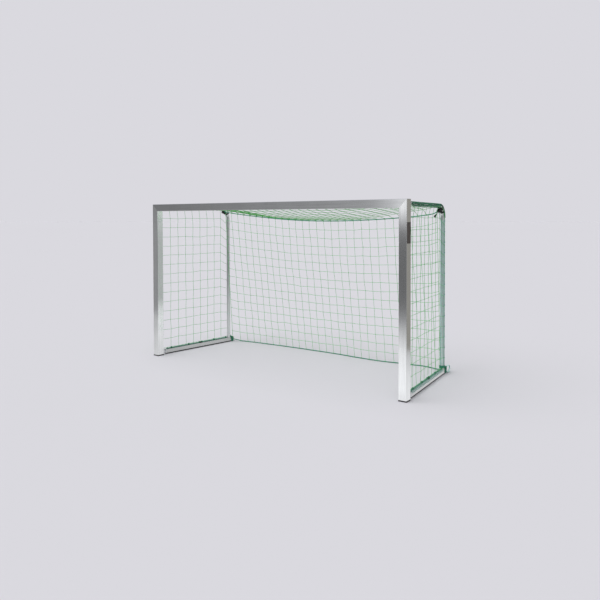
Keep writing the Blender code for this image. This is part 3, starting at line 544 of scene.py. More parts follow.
def webbing(name):
    """Black woven strap: ribs across and threads along."""
    made, tree, shader = new_material(name, 0.7, Sheen_Weight=0.15)
    ribs_per_metre = 700
    _, along, _ = lay_of(tree)
    rib = swell(tree, calc(tree, "MULTIPLY", along, 2 * math.pi * ribs_per_metre))
    fibre, patch = noise(tree, 1800.0, 2.0), noise(tree, 60.0, 2.0)
    # The tone follows the ribs, darker between them: painted shade in the weave's grooves.
    tone = blend_of(tree, (0.5, rib), (0.25, fibre), (0.25, patch))
    colour = ramp(tree, tone, [(0.3, (0.004, 0.006, 0.005)), (0.8, (0.03, 0.038, 0.034))])
    wire(tree, shader, Base_Color=colour)
    bump(tree, shader, blend_of(tree, (0.7, rib), (0.3, fibre)), 0.0004)
    return made


def label_material(name):
    """Plain dark film with a faint wear."""
    made, tree, shader = new_material(name, 0.5)
    wear, fine = noise(tree, 45.0, 4.0), noise(tree, 900.0, 2.0)
    colour = ramp(tree, wear, [(0.3, (0.055, 0.045, 0.04)), (0.8, (0.115, 0.095, 0.085))])
    wire(tree, shader, Base_Color=colour, Roughness=ramp(tree, fine, [(0.3, 0.58), (0.7, 0.42)]))
    bump(tree, shader, fine, 0.00005)
    return made


POST_METAL = brushed("brushed_upright", "Z")
# The crossbar has the posts' brushed aluminium in darker tones: painted shade.
CROSSBAR_SHADED_METAL = brushed("brushed_crossbar_painted_shade", "X", 0.0, ((0.58, 0.59, 0.61), (0.75, 0.765, 0.79)))
HOOP_METAL = brushed("brushed_hoop", "Z", 0.0, ((0.64, 0.66, 0.68), (0.79, 0.81, 0.835)), (0.24, 0.36))
BAR_TONES = ((0.5, 0.51, 0.52), (0.66, 0.67, 0.68))
BAR_METAL = {
    word: brushed("brushed_bar_" + word, "Y", -side * REST_TURN, BAR_TONES, (0.22, 0.34))
    for word, side in SIDES.items()
}
PLATE = cast_or_cut("sawn_plate", (0.66, 0.67, 0.69), (0.85, 0.86, 0.88), 0.42, 1, 600, 3e-5)
ZINC = cast_or_cut("zinc_plate", (0.42, 0.43, 0.46), (0.72, 0.73, 0.77), 0.4, 1, 900, 2e-5)
DARK_PLASTIC = cast_or_cut("dark_plastic", (0.018, 0.018, 0.02), (0.05, 0.05, 0.055), 0.55, 0, 1600, 5e-5)
CLIP_PLASTIC = cast_or_cut("clip_plastic", (0.004, 0.006, 0.005), (0.018, 0.024, 0.022), 0.48, 0, 1500, 4e-5)
HOOK_PLASTIC = cast_or_cut("hook_plastic", (0.1, 0.105, 0.105), (0.19, 0.195, 0.195), 0.5, 0, 1500, 4e-5)
RUBBER = cast_or_cut("strip_rubber", (0.012, 0.012, 0.013), (0.04, 0.04, 0.042), 0.8, 0, 1100, 1e-4)
LABEL = label_material("label_film")
WEBBING = webbing("strap_webbing")

ROPE_TONES = (0.006, 0.07, 0.038), (0.03, 0.25, 0.145), (0.15, 0.52, 0.35)
NET_TONES = (0.018, 0.185, 0.045), (0.055, 0.42, 0.095), (0.17, 0.67, 0.215)
# The roof net's twine is the nets' green in darker tones: painted shade.
ROOF_SHADED_TONES = (0.01, 0.11, 0.018), (0.036, 0.28, 0.045), (0.12, 0.49, 0.115)
ROPE_GREEN = cordage("rope_green", *ROPE_TONES, 200.0, 4.0, 0.0004)
NET_GREEN = cordage("net_green", *NET_TONES, 170.0, 2.0)
# The roof's twine material, darker than the net green by painted shade.
ROOF_SHADED_GREEN = cordage("roof_green_painted_shade", *ROOF_SHADED_TONES, 170.0, 2.0)
LACING_GREEN = cordage("lacing_green", (0.004, 0.05, 0.026), (0.014, 0.15, 0.076), (0.07, 0.3, 0.16))
CORD_TEAL = cordage("cord_teal", (0.03, 0.16, 0.105), (0.12, 0.38, 0.275), (0.29, 0.6, 0.46))
EDGE_TEAL = cordage("edge_teal", (0.016, 0.11, 0.085), (0.055, 0.28, 0.23), (0.16, 0.48, 0.41))
# The teal is the twine's own; its paleness is painted light, raised to make up for shade on the strands and
# for the upright's bright reflection behind them.
PALE_TEAL_WITH_PAINTED_LIGHT = cordage("pale_teal_with_painted_light", (0.2, 0.4, 0.35), (0.42, 0.68, 0.62), (0.64, 0.88, 0.83))


# Putting pieces in place

OUTWARD, ALONG, UP = np.eye(3)


def side_place(side):
    """How a side frame's own place (outward, along, up) lies in the world."""
    turn = side * REST_TURN
    rotate = np.array([[math.cos(turn), -math.sin(turn), 0], [math.sin(turn), math.cos(turn), 0], [0, 0, 1]])
    return rotate @ np.diag([side, 1.0, 1.0]), np.array([side * POST_X, HINGE_Y, 0.0]), side < 0


def on_side(side, outward, along, up):
    """A point of a side frame in the world."""
    turn, shift, _ = side_place(side)
    return turn @ np.array([outward, along, up]) + shift


def in_scene(name, data):
    """An object with its data, linked to the scene."""
    made = bpy.data.objects.new(name, data)
    bpy.context.scene.collection.objects.link(made)
    return made


def piece(name, shape, finish, replaced=(), place=None):
    """Makes a piece's object, still without a body."""
    data = shape.mesh(name, place)
    data.materials.append(finish)
    made = in_scene(name, data)
    if replaced:
        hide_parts(*replaced)
    return made


def side_piece(name, word, shape, finish, replaced=()):
    """A piece of a side frame, made outward, along and up from its hinge axis."""
    made = piece(name + "_" + word, shape, finish, replaced, side_place(SIDES[word]))
    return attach(made, "side_frame_" + word)


def bend_point(degrees, off=0.0):
    """A point on the hoop's bend, or off it away from the bend's centre, as (0, along, up)."""
    turn = math.radians(degrees)
    radius = HOOP_BEND + off
    return np.array([0.0, ARM_END + radius * math.sin(turn), UPRIGHT_END + radius * math.cos(turn)])


# Ropes across the back

def rope_route(place, rows, count):
    """A rope's centreline between the same place on both side frames; rows are (share, up, back)."""
    left, right = (on_side(side, *place) for side in (-1, 1))
    half, middle = (right - left) / 2, (left + right) / 2
    return smooth_route([middle + half * share + (0, back, up) for share, up, back in rows], count)


def top_rope_place():
    """Where the upper rope ends, at the first of the strap's turns round the bend."""
    bulge = STRAP_WIDTH ** 2 / 8 / (HOOP_BEND - TUBE / 2)
    bore = (TUBE / 2 + GAP + bulge) / math.cos(math.pi / 16)
    reach = (bore + STRAP_THICKNESS + GAP + ROPE / 5) * math.sqrt(0.5)
    return bend_point(STRAP_ANGLES[0], -reach) - (reach, 0.0, 0.0)


def at_x(route, x):
    """The route's point at a given x."""
    return np.array([np.interp(x, route[:, 0], route[:, k]) for k in range(3)])


TOP = rope_route(top_rope_place(), TOP_ROPE, 900)
LOWER = rope_route((-BAR / 2 - 2 * ROPE_CLEAR - GAP, LASHING_AT, 0.0), FLOOR_ROPE, 1200)


def across_blend(made):
    """Bakes a piece's placement into its mesh."""
    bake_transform(made)


def half_route(route, side):
    """The half of a route on one side, from the middle outwards."""
    half = route[route[:, 0] * side > 0]
    middle = at_x(route, 0.0)
    return np.concatenate([[middle], half if side > 0 else half[::-1]])


def back_rope(name, route, word):
    """One half of a rope across the back."""
    half = evenly(half_route(route, SIDES[word]), ROPE * 0.25)
    path = half[::-1] if word == "left" else half
    shape = Shape()
    braided_rope(shape, path, ROPE)
    made = piece(name + "_" + word, shape, ROPE_GREEN, [name])
    across_blend(made)


for side_word in SIDES:
    back_rope("top_rope", TOP, side_word)
    back_rope("floor_rope", LOWER, side_word)


# Nets

# Where a half net's upright strands are, as shares of its half width, with the middle first
HALF_SHARES = [0.0] + [k / BACK_MESHES for k in range(1, BACK_MESHES + 1, 2)]


def knot(shape, at, first, second):
    """A small turn of twine round a crossing."""
    axis, normal = unit(first + second), unit(np.cross(first, second))
    path = circle_path(at, TWINE * 0.62, normal, np.cross(axis, normal), 8)
    sweep(shape, path, circle_section(KNOT, 5), axis, closed=True)


def net(shape, grid, first_column=0, border=(True, True, True, True), size=TWINE, unknotted=0):
    """Strands through the rows and columns of a grid of knots.

    The border is (low, high, start, end): thicker where True, and no strand where None. The last unknotted
    columns have no knots.
    """
    rows, columns = grid.shape[:2]
    for lines, first, ends in ((grid, 0, border[:2]), (grid.swapaxes(0, 1), first_column, border[2:])):
        for k in range(first, len(lines)):
            edge = ends[0] if k == 0 else ends[1] if k == len(lines) - 1 else False
            if edge is not None:
                twine(shape, lines[k], size * (EDGE_STRAND if edge else 1.0))
    for j in range(rows):
        for i in range(first_column, columns - unknotted):
            along = grid[j, min(i + 1, columns - 1)] - grid[j, max(i - 1, 0)]
            up = grid[min(j + 1, rows - 1), i] - grid[max(j - 1, 0), i]
            knot(shape, grid[j, i], unit(along), unit(up))


def uneven(grid, seed, spread=(UNEVEN, UNEVEN, UNEVEN)):
    """Shifts the inner knots a little, as in a hung net."""
    shift = np.random.default_rng(seed).normal(0.0, 1.0, grid.shape) * spread
    shift[[0, -1]] = 0.0
    shift[:, [0, -1]] = 0.0
    return grid + shift


def rope_loops(shape, route, spots_x):
    """A loop of twine round the rope at each strand's end."""
    for x in spots_x:
        ahead = unit(at_x(route, x + 0.004) - at_x(route, x - 0.004))
        up = unit(np.cross(ahead, (0.0, 1.0, 0.0)))
        path = circle_path(at_x(route, x), ROPE / 2 + TWINE * 0.35, up, np.cross(ahead, up), 10)
        path[:, 2] = np.maximum(path[:, 2], TWINE / 2)
        sweep(shape, path, circle_section(TWINE / 2, 6), ahead, closed=True)


def pulled(start, end, clear):
    """A point at a distance from a start towards an end."""
    return start + unit(end - start) * clear


def back_net(word):
    """One half of the back net, from the rope on the floor to the upper rope."""
    places = [SIDES[word] * share * (BACK_HALF + EDGE_OUT) for share in HALF_SHARES]
    rise = np.linspace(0, 1, BACK_ROWS + 1)
    columns = []
    for x, share in zip(places, HALF_SHARES):
        low, high = at_x(LOWER, x), at_x(TOP, x)
        foot, head = pulled(low, high, NET_BESIDE_ROPE), pulled(high, low, NET_BESIDE_ROPE)
        column = between(foot, head, rise[:, None])
        lean = np.sin(rise * np.pi) ** 2 * np.maximum(0, rise - 0.5)
        column[:, 0] -= BACK_LEAN * lean * (1 - share ** 4) * (share > 0)
        columns.append(column)
    shape = Shape()
    net(shape, uneven(np.stack(columns, 1), 11 + SIDES[word]), 1, (None, None, False, True))
    rope_loops(shape, TOP, places[1:-1])
    rope_loops(shape, LOWER, places[1:-1])
    made = piece("back_net_" + word, shape, NET_GREEN, ["back_net"])
    across_blend(made)


def smooth_step(share):
    """0 to 1, smooth at both ends."""
    share = min(1.0, max(0.0, share))
    return share * share * (3 - 2 * share)


def roof_net(word):
    """One half of the roof net, from the hooks behind the crossbar to the upper rope."""
    side = SIDES[word]
    run = np.linspace(0, 1, ROOF_ROWS + 1)
    bulge = [smooth_step(v / ROOF_BULGE_FRONT) * smooth_step((1 - v) / ROOF_BULGE_REAR) for v in run]
    columns = []
    for share in HALF_SHARES:
        front = np.array([side * share * ROOF_HALF, ROOF_FRONT_Y, ROOF_FRONT_Z])
        rear = at_x(TOP, side * share * BACK_HALF) + (0.0, -0.001, ROPE / 2 + TWINE * 0.7)
        column = between(front, rear, run[:, None])
        beside = smooth_step((share - ROOF_BULGE_FROM[word]) / ROOF_BULGE_OVER)
        column[:, 2] -= ROOF_SAG * 4 * run * (1 - run) * (1 - beside)
        column[:, 2] += ROOF_BULGE * beside * np.array(bulge)
        columns.append(column)
    grid = uneven(np.stack(columns, 1), 21 + side, (0.001, 0.003, 0.0004))
    shape = Shape()
    net(shape, grid, 1, (True, None, False, None), TWINE * 1.25, 3)
    rope_loops(shape, TOP, [side * share * BACK_HALF + side * TWINE for share in HALF_SHARES[1:-1]])
    made = piece("roof_net_" + word, shape, ROOF_SHADED_GREEN, ["roof_net"])
    roof_blend(made)


def roof_blend(made):
    """Bakes the roof net's placement into its mesh."""
    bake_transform(made)


def side_net(word):
    """A side net, from the post's hooks to the bar's rope and the outer side of the arm and the upright."""
    bend = HOOP_BEND - SIDE_NET_INSIDE
    grid = np.zeros((SIDE_ROWS + 1, SIDE_MESHES + 1, 3))
    for i, along in enumerate(np.linspace(0.0, HOOP_AT - SIDE_NET_INSIDE, SIDE_MESHES + 1)):
        beyond = min(max(0.0, along - ARM_END), bend - 0.004)
        top = UPRIGHT_END + math.sqrt(bend ** 2 - beyond ** 2)
        grid[:, i, 1] = along
        grid[:, i, 2] = np.linspace(SIDE_NET_LOW, top, SIDE_ROWS + 1)
    grid = uneven(grid, 31 + SIDES[word])
    grid[-1, :, 0] = SIDE_NET_OUT
    grid[:, -2, 0] = 0.006
    grid[:, -1, 0] = SIDE_NET_OUT
    grid[:-1, -1, 1] = SIDE_NET_REAR
    shape = Shape()
    net(shape, grid, size=TWINE * 0.95, border=(True, None, True, None))
    edge = [(along, ARM_Z - SIDE_NET_INSIDE) for along in np.linspace(0.0, ARM_END, 12)]
    for degrees in range(10, 91, 10):
        off = between(-SIDE_NET_INSIDE, SIDE_NET_REAR - HOOP_AT, degrees / 90)
        edge.append(bend_point(degrees, off)[1:])
    edge += [(SIDE_NET_REAR, up) for up in np.linspace(UPRIGHT_END - 0.05, SIDE_NET_LOW, 20)]
    twine(shape, smooth([(SIDE_NET_OUT, along, up) for along, up in edge], 0.012), TWINE * 1.15)
    side_piece("side_netting", word, shape, NET_GREEN, ["side_net_" + word])


for side_word in SIDES:
    back_net(side_word)
    roof_net(side_word)
    side_net(side_word)


# Side frames

def hoop_tube(word):
    """The bent tube, finer than its solid and open at both ends."""
    bends = 28
    line = [(0.0, FRAME_START, ARM_Z), *(bend_point(90 * k / bends) for k in range(bends + 1))]
    path = np.array([*line, (0.0, HOOP_AT, BAR_TOP + GAP)])
    up = np.cross(unit(np.gradient(path, axis=0)), OUTWARD)
    round_tube = circle_section(1.0, 40)
    outer, inner = (
        path[:, None] + radius * (OUTWARD * round_tube[:, :1] + up[:, None] * round_tube[:, 1:2])
        for radius in (TUBE / 2, TUBE / 2 - TUBE_WALL)
    )
    rings = np.concatenate([outer, inner[::-1]])
    far = distances(path)
    shape = Shape()
    shape.skin(rings, np.concatenate([far, far[::-1]]), np.ones(rings.shape[:2]), closed=True)
    side_piece("hoop_tube", word, shape, HOOP_METAL, ["net_hoop_" + word])


def along_arm(stations, turn, reach):
    """A line along the arm, off its middle by a reach, at an angle up from straight outward."""
    turn = turn + 0 * stations
    return np.stack([reach * np.cos(turn), stations, ARM_Z + reach * np.sin(turn)], -1)


def arm_cords(word):
    """The ropes along the arm, the net's gathered strands between them, and the cord wound round them."""
    random = np.random.default_rng(41 + SIDES[word])
    stations = np.linspace(CORD_START, ARM_END, 60)
    swung = ((stations - CORD_START) / (ARM_END - CORD_START)) ** 1.3
    shape = Shape()
    outer = TUBE / 2 + ROPE / 2
    for at_post, at_bend in ARM_ROPES:
        braided_rope(shape, along_arm(stations, np.radians(between(at_post, at_bend, swung)), outer), ROPE)
    over, drawn = [], outer * 0.98
    for degrees in range(0, 91, 5):
        turn = math.radians(ARM_ROPES[-1][1] * (1 - degrees / 90))
        over.append(bend_point(degrees, drawn * math.sin(turn)) + (drawn * math.cos(turn), 0.0, 0.0))
    braided_rope(shape, over, ROPE * 0.8)
    thin = ROPE * 0.88
    inner, turn = TUBE / 2 + thin / 2, math.radians(ARM_INNER_ROPE)
    inner_rope = list(along_arm(stations, turn, inner))
    for degrees in range(4, 45, 4):
        outward = inner * math.cos(turn) * (1 - degrees / 200)
        inner_rope.append(bend_point(degrees, inner * math.sin(turn)) + (outward, 0.0, 0.0))
    braided_rope(shape, inner_rope, thin)
    lowest = between(*ARM_LOWEST_STRAND, swung)
    for k in range(ARM_STRANDS):
        turn = np.radians(between(lowest, ARM_HIGHEST_STRAND, k / (ARM_STRANDS - 1)))
        turn += wave(random, stations, (0.05, 0.16), (2.0, 5.0))
        reach = TUBE / 2 + TWINE / 2 + (0.0022 if k % 3 == 1 else 0.0002)
        twine(shape, along_arm(stations, turn, reach))
    held = [(0.0, 0.0, TUBE / 2)]
    for at_post, _ in ARM_ROPES:
        turn = math.radians(at_post)
        held.append((outer * math.cos(turn), outer * math.sin(turn), ROPE / 2))
    loop = taut_loop(held, TWINE / 2, 36)
    steps = ARM_LACING_TURNS * 36
    twine(shape, coil(loop, CORD_START + ARM_LACING_FROM, ARM_LACING_PITCH, steps, ARM_Z))
    side_piece("arm_cords", word, shape, LACING_GREEN, ["arm_rope_" + word])


def upright_lacing(word):
    """The nets' edge cords beside the upright, with their knots, and the turns that hold them."""
    cords, turns = Shape(), Shape()
    inner = UPRIGHT_CORD[word]
    _, knot_along, knot_up = bend_point(40, -TUBE / 2 - 0.012)
    down = [(inner[0], knot_along, knot_up)]
    if word == "right":
        down.append((inner[0] - 0.01, HOOP_AT - 0.04, UPRIGHT_HIGH + 0.05))
    down += [(inner[0], HOOP_AT + inner[1], z) for z in np.linspace(UPRIGHT_HIGH - 0.02, UPRIGHT_LOW, 16)]
    twine(cords, smooth(down, 0.008), TWINE * 1.15, 8)
    straight = [(SIDE_NET_OUT + 0.001, SIDE_NET_REAR, z) for z in np.linspace(UPRIGHT_HIGH, UPRIGHT_LOW, 60)]
    twine(cords, straight, TWINE * 1.15, 8)
    outer = (SIDE_NET_OUT, SIDE_NET_REAR - HOOP_AT)
    circles = [(0.0, 0.0, TUBE / 2), (*inner, TWINE * 0.6), (*outer, TWINE * 0.6)]
    loop = taut_loop(circles, TWINE * 0.35, 36)
    tilt = UPRIGHT_TILT * np.sin(all_round(36))
    for k, level in enumerate(np.linspace(UPRIGHT_LOW + 0.04, UPRIGHT_HIGH - 0.02, UPRIGHT_TURNS[word])):
        ring = np.stack([loop[:, 0], HOOP_AT + loop[:, 1], level + tilt], -1)
        twine(turns, ring, TWINE * 0.9, closed=True, guide=UP)
        for lift in (-KNOT_PITCH, 0.0, KNOT_PITCH) if k % 2 else ():
            middle = (SIDE_NET_OUT, SIDE_NET_REAR, level + lift)
            bead = circle_path(middle, KNOT_REACH, OUTWARD, ALONG, 10)
            twine(cords, bead, TWINE * 1.1, closed=True, guide=UP)
    if word == "right":
        loose_strands(turns, np.linspace(UPRIGHT_LOW + 0.01, UPRIGHT_HIGH - 0.01, 90))
    side_piece("upright_cords", word, cords, EDGE_TEAL)
    side_piece("upright_turns", word, turns, PALE_TEAL_WITH_PAINTED_LIGHT)


def round_upright(levels, turn, reach):
    """A line round or along the upright, off its middle by a reach, at an angle from straight outward."""
    return np.stack([reach * np.cos(turn), HOOP_AT + reach * np.sin(turn), levels], -1)


def loose_strands(shape, levels):
    """The net's spare strands down the front of the right upright."""
    random = np.random.default_rng(51)
    for k in range(5):
        turn = np.radians(-112 + 20.0 * k) + wave(random, levels, (0.05, 0.12), (2.0, 4.0))
        twine(shape, round_upright(levels, turn, TUBE / 2 + TWINE * (0.45 if k % 2 else 0.9)), TWINE * 0.9)


def bar_cords(word):
    """The rope on the bar, the net's gathered hem and the lacing and knots that hold it."""
    cords, hems, knots = Shape(), Shape(), Shape()
    height = BAR_TOP + ROPE_CLEAR
    stations = np.linspace(CORD_START, HOOP_AT - TUBE / 2 - 2 * ROPE_CLEAR - GAP, 80)
    braided_rope(cords, [(0.0, along, height) for along in stations], ROPE)
    held = [(0.0, 0.0, ROPE / 2), (0.0, SIDE_NET_LOW - height, TWINE / 2)]
    loop = taut_loop(held, TWINE / 2, 20)
    for first, turns in ((CORD_START + 0.006, 8), (CLIP_AT + 0.026, 7)):
        twine(cords, coil(loop, first, BAR_LACING_PITCH, turns * 20 + 1, height))
    random = np.random.default_rng(61 + SIDES[word])
    for k, (outward, up) in enumerate(BAR_HEMS):
        swing = wave(random, stations, (0.0016, 0.0028), (5.0, 9.0))
        path = np.stack([outward + 0 * stations, stations, BAR_TOP + up + swing * (k > 1)], -1)
        twine(hems, path, TWINE * 0.9)
    thick = TWINE * 1.3
    loop = taut_loop(held, TWINE * 0.9, 20)
    for at, turns in BAR_KNOTS:
        twine(knots, coil(loop, at - thick * turns / 2, thick, turns * 20 + 1, height), thick)
    side_piece("bar_cords", word, cords, CORD_TEAL, ["bar_rope_" + word])
    side_piece("bar_hem", word, hems, PALE_TEAL_WITH_PAINTED_LIGHT)
    side_piece("bar_knots", word, knots, LACING_GREEN)


def corner_knots(word):
    """The rope's turns round the bar's rear end, on the right also round the upright's foot, and its knot."""
    shape = Shape()
    thick, rounding = ROPE * 0.92, 0.006
    reach = BAR / 2 + ROPE_CLEAR - rounding
    corners = [(a * reach, b * reach, rounding) for a, b in ((1, 1), (-1, 1), (-1, -1), (1, -1))]
    pitch = ROPE * 0.96
    turns = coil(taut_loop(corners, 0.0, 40), LASHING_AT - 1.5 * pitch, pitch, 3 * 40 + 1, BAR_TOP - BAR / 2)
    braided_rope(shape, turns, thick, 12)
    if word == "right":
        spin = np.arange(3 * 40 + 1) / 40
        levels = BAR_TOP + ROPE_CLEAR + 0.0088 * spin
        braided_rope(shape, round_upright(levels, 2 * np.pi * spin, TUBE / 2 + ROPE / 2), thick, 12)
    knotted = LASHING_AT * ALONG + [
        (0.022, -0.016, 0.046), (0.033, -0.01, 0.058), (0.026, 0.004, 0.07), (0.012, 0.004, 0.066),
        (0.01, -0.012, 0.06), (0.024, -0.014, 0.068), (0.03, 0.002, 0.056), (0.02, 0.014, 0.06),
    ]
    braided_rope(shape, smooth(knotted, 0.002), ROPE * 0.85, 12)
    side_piece("corner_knots", word, shape, ROPE_GREEN, ["corner_lashing_" + word])


def spare_loop():
    """The net cord's spare end, tied back in a loop of four strands behind the right corner."""
    shape = Shape()
    for spread in (0.0, 0.004, 0.008, 0.011):
        path = LASHING_AT * ALONG + [
            (0.02 + spread, 0.004, 0.062), (0.024 + spread, 0.04, 0.072), (0.026 + spread, 0.084, 0.06),
            (0.026 + spread, 0.106 - spread, 0.036), (0.026 + spread, 0.082, 0.012),
            (0.026 + spread, 0.044, 0.007), (0.028 + spread / 2, 0.014, 0.016), (0.03, -0.002, 0.03),
        ]
        twine(shape, smooth(path, 0.002), TWINE * 1.3, 8)
    side_piece("spare_loop", "right", shape, PALE_TEAL_WITH_PAINTED_LIGHT)


def strap(word):
    """The black strap: its turns round the bend, the run between them, the knot and the right one's ends."""
    shape = Shape()
    section = band_section(STRAP_WIDTH, STRAP_THICKNESS)
    for degrees in STRAP_ANGLES:
        turn = math.radians(degrees)
        ahead = math.cos(turn) * ALONG - math.sin(turn) * UP
        out = math.sin(turn) * ALONG + math.cos(turn) * UP
        for off, way in zip(STRAP_RINGS, (-1, 1)):
            path = circle_path(bend_point(degrees), TUBE / 2 + off, out, OUTWARD, 36)
            lean = STRAP_LEAN * way * np.cos(all_round(36))
            sweep(shape, path + lean[:, None] * ahead, section, np.tile(ahead, (36, 1)), closed=True)
    ribbon(shape, [bend_point(degrees, TUBE / 2 + STRAP_RUN_OFF) for degrees in STRAP_RUN], 0.0)
    first, middles = len(shape.points), []
    width = STRAP_WIDTH * (1.0 if word == "right" else 0.75)
    for lobe, (degrees, off, shift, size) in enumerate(STRAP_LOBES[word]):
        middles.append(bend_point(degrees, -TUBE / 2 - off) + shift)
        for swirl in range(4):
            ring = []
            for turn in np.linspace(0, 2 * np.pi, 10)[:-1] + 0.8 * swirl:
                way = (0.8 * math.cos(turn + swirl), math.sin(turn), 0.9 * math.cos(turn - 0.7 * swirl))
                ring.append(middles[-1] + size * (1.0 - 0.16 * swirl) * np.array(way))
            ribbon(shape, ring, 2.2 + swirl + lobe, width)
    for block in shape.points[first:]:
        press(block)
    if word == "right":
        ribbon(shape, middles[0] + STRAP_TAIL, 1.45, STRAP_WIDTH * 1.25, (-0.45, 0.85, 0.1))
        ribbon(shape, middles[0] + STRAP_STUB, 0.0, STRAP_WIDTH, (0.5, 0.3, 0.8))
    side_piece("strap_tie", word, shape, WEBBING, ["hoop_strap_" + word])


def press(points):
    """Crowds points that lie too far inward of the arm between the two planes of the press."""
    room = PRESS_FROM - PRESS_TO
    over = np.maximum(0.0, PRESS_FROM - points[:, 0])
    points[:, 0] = np.maximum(points[:, 0], PRESS_FROM) - room * (1 - np.exp(-over / room))


def ribbon(shape, points, twist, width=STRAP_WIDTH, across=(1.0, 0.0, 0.0)):
    """A flat strap along a smooth line, twisted on its way."""
    path = smooth(points, 0.003)
    ahead = unit(np.gradient(path, axis=0))
    base = carried(ahead, np.array(across))
    up = np.cross(ahead, base)
    turn = np.linspace(0, twist, len(path))[:, None]
    guide = base * np.cos(turn) + up * np.sin(turn)
    sweep(shape, path, band_section(width, STRAP_THICKNESS), guide)


for side_word in SIDES:
    hoop_tube(side_word)
    arm_cords(side_word)
    upright_lacing(side_word)
    bar_cords(side_word)
    corner_knots(side_word)
    strap(side_word)
spare_loop()


# The solids that stay

FINISHES = (
    (CROSSBAR_SHADED_METAL, "crossbar"), (DARK_PLASTIC, ("post_foot", "bar_end_cap")), (POST_METAL, "post_"),
    (PLATE, "corner_plate"), (HOOP_METAL, ("upper_hinge_eye", "lower_hinge_eye")),
    (ZINC, ("corner_screw", "upper_", "lower_", "peg_bolt")), (HOOK_PLASTIC, "net_hooks"),
    (LABEL, "blank_label"), (BAR_METAL["left"], "ground_bar_left"), (BAR_METAL["right"], "ground_bar_right"),
    (RUBBER, "floor_strip"), (CLIP_PLASTIC, "bar_clip"),
)
for node_name, solid in frame["nodes"].items():
    for finish, starts in FINISHES:
        if node_name.startswith(starts):
            for material_slot in solid.material_slots:
                material_slot.material = finish
            break


# The studio

FLOOR_TONE = (0.701, 0.694, 0.738)
FLOOR_HALF = 900.0
WORLD_SHARE = 0.36
KEY_WAY = (-0.2, -0.4, 1.0)
KEY_SHARE = 0.64
KEY_ANGLE = 70
# The floor as shiny surfaces mirror it: brightness by place across and along a field round the goal
MIRROR_WIDTH, MIRROR_DEPTH = 8.0, 12.0
FLOOR_ACROSS = (
    (0.1, 0.55), (0.26, 0.66), (0.44, 0.8), (0.58, 0.93), (0.67, 1.0), (0.7, 0.85), (0.74, 0.8),
    (0.82, 0.5),
)
FLOOR_ALONG = ((0.12, 0.3), (0.15, 0.38), (0.3, 0.92), (0.38, 1.0), (0.58, 1.0), (0.72, 0.7))
# The studio that shiny surfaces mirror: brightness by direction from the front (0), left negative, in half
# turns, below and above a soft edge between two heights
RING, RING_HEIGHT, RING_FORWARD = 4.8, 3.2, 0.3
RING_EDGE = (1.36, 1.66)
LOW_GLOW = (
    (-1.0, 0.5), (-0.55, 0.36), (-0.33, 0.28), (-0.14, 0.15), (0.0, 0.145), (0.22, 0.185), (0.5, 0.3),
    (0.75, 0.47), (1.0, 0.5),
)
HIGH_GLOW = (
    (-1.0, 0.61), (-0.55, 0.36), (-0.33, 0.235), (-0.215, 0.335), (-0.14, 0.4), (-0.085, 0.45),
    (-0.06, 1.0), (0.02, 1.0), (0.15, 0.57), (0.5, 0.62), (0.7, 0.88), (1.0, 0.88),
)
CARD_X, CARD_Y, CARD_HEIGHT = (1.95, 3.4), 1.2, 3.0


def stage_piece(name, points, faces, finish):
    """A flat piece of the studio."""
    data = bpy.data.meshes.new(name)
    data.from_pydata(points, [], faces)
    data.materials.append(finish)
    made = in_scene(name, data)
    return made


def mix(tree, share, first, second):
    """A colour between two."""
    return node(tree, "Mix", {0: share, 6: first, 7: second}, data_type="RGBA").outputs[2]


def shine(tree, colour):
    """An even glow of a colour, as a shader."""
    return node(tree, "Emission", {"Color": colour, "Strength": 1.0}).outputs[0]


def surface(tree, shader):
    """Makes a shader the material's surface."""
    tree.links.new(shader, tree.nodes["Material Output"].inputs["Surface"])


def floor():
    """A wide pale floor, which metal mirrors as the lit sweep of a studio, falling off away from the goal."""
    made, tree, shader = new_material("floor", 0.95, Specular_IOR_Level=0.0)
    shader.inputs["Base Color"].default_value = (*FLOOR_TONE, 1.0)
    x, y, _ = parts_of(tree, spots(tree))
    across = ramp(tree, calc(tree, "MULTIPLY_ADD", x, 1 / MIRROR_WIDTH, 0.5), FLOOR_ACROSS)
    along = ramp(tree, calc(tree, "MULTIPLY_ADD", y, 1 / MIRROR_DEPTH, 0.5), FLOOR_ALONG)
    share = mix(tree, 1.0, across, along)
    share.node.blend_type = "MULTIPLY"
    glossy = node(tree, "LightPath").outputs["Is Glossy Ray"]
    either = node(tree, "MixShader", {0: glossy, 1: shader.outputs[0], 2: shine(tree, share)})
    surface(tree, either.outputs[0])
    h = FLOOR_HALF
    stage_piece("floor", [(-h, -h, 0), (h, -h, 0), (h, h, 0), (-h, h, 0)], [(0, 1, 2, 3)], made)


def world():
    """The pale backdrop for what the camera and metal see, and an even light for the rest."""
    made = bpy.data.worlds.new("studio")
    bpy.context.scene.world = made
    made.use_nodes = True
    tree = made.node_tree
    rays = node(tree, "LightPath")
    seen = calc(tree, "MAXIMUM", rays.outputs["Is Camera Ray"], rays.outputs["Is Glossy Ray"])
    seen = calc(tree, "MAXIMUM", seen, rays.outputs["Is Transmission Ray"])
    colour = mix(tree, seen, (WORLD_SHARE, WORLD_SHARE, WORLD_SHARE, 1.0), (*FLOOR_TONE, 1.0))
    tree.links.new(colour, tree.nodes["Background"].inputs["Color"])


def lamp():
    """One broad lamp, which adds its share of the floor's light."""
    data = bpy.data.lights.new("key", "SUN")
    way = Vector(KEY_WAY).normalized()
    data.energy = KEY_SHARE * math.pi / way.z
    data.angle = math.radians(KEY_ANGLE)
    made = in_scene("key", data)
    made.rotation_euler = way.to_track_quat("Z", "Y").to_euler()
    made.visible_glossy = False


def card(name, points, faces, build):
    """A card that only shows in shiny surfaces, with a glow that build makes from its tree."""
    made, tree, shader = new_material(name, 1.0)
    tree.nodes.remove(shader)
    surface(tree, shine(tree, build(tree)))
    shown = stage_piece(name, points, faces, made)
    for ray in ("camera", "diffuse", "transmission", "volume_scatter", "shadow"):
        setattr(shown, "visible_" + ray, False)


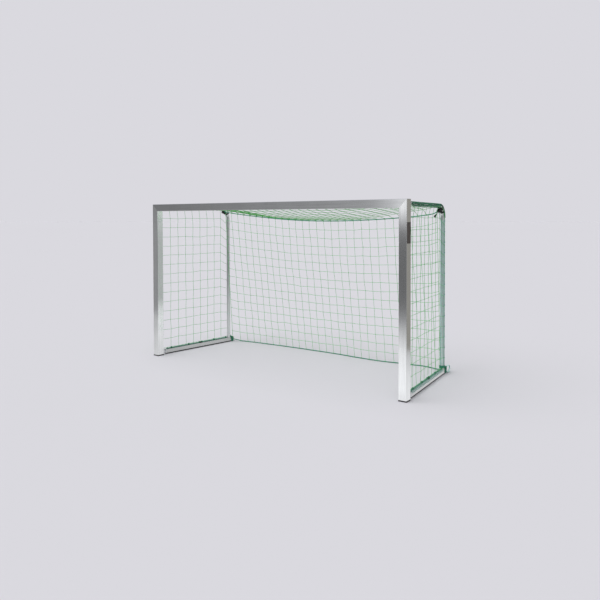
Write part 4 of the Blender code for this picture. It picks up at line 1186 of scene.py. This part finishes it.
def studio_ring():
    """The studio round the goal as its metal mirrors it: darker low down, with lit panels above."""
    count = 72
    points, faces = [], []
    for k in range(count):
        turn = 2 * math.pi * k / count
        for z in (0.0, RING_HEIGHT):
            points.append((RING * math.cos(turn), RING * math.sin(turn) - RING_FORWARD, z))
        a, b = 2 * k, 2 * ((k + 1) % count)
        faces.append((a, b, b + 1, a + 1))

    def glow(tree):
        x, y, z = parts_of(tree, spots(tree))
        ahead = calc(tree, "MULTIPLY", calc(tree, "ADD", y, RING_FORWARD), -1.0)
        turn = calc(tree, "MULTIPLY_ADD", calc(tree, "ARCTAN2", x, ahead), 0.5 / math.pi, 0.5)
        low, high = (
            ramp(tree, turn, [(at / 2 + 0.5, tone) for at, tone in stops]) for stops in (LOW_GLOW, HIGH_GLOW)
        )
        edge = [(height / RING_HEIGHT, share) for height, share in zip(RING_EDGE, (0.0, 1.0))]
        rise = ramp(tree, calc(tree, "DIVIDE", z, RING_HEIGHT), edge)
        return mix(tree, rise, low, high)

    card("studio_ring", points, faces, glow)


def side_card():
    """A warm grey card at the right rear, which the right post's outer side mirrors."""
    near, far = CARD_X
    points = [(x, CARD_Y, z) for x, z in ((near, 0.0), (far, 0.0), (far, CARD_HEIGHT), (near, CARD_HEIGHT))]

    def glow(tree):
        cloud = noise(tree, 0.8, 2.0)
        return ramp(tree, cloud, [(0.3, (0.275, 0.262, 0.235)), (0.7, (0.32, 0.312, 0.278))])

    card("side_card", points, [(0, 1, 2, 3)], glow)


def camera():
    """The photograph's viewpoint."""
    data = bpy.data.cameras.new("camera")
    data.sensor_width = SENSOR
    data.lens = CAMERA_FOCAL_PIXELS / PICTURE * SENSOR
    data.shift_x = (PICTURE / 2 - CAMERA_CENTRE[0]) / PICTURE
    data.shift_y = (CAMERA_CENTRE[1] - PICTURE / 2) / PICTURE
    made = in_scene("camera", data)
    made.location = CAMERA_AT
    made.rotation_euler = (math.pi / 2 - CAMERA_PITCH, 0.0, CAMERA_YAW)
    bpy.context.scene.camera = made


floor()
world()
lamp()
studio_ring()
side_card()
camera()
bpy.context.scene.view_settings.view_transform = "Standard"
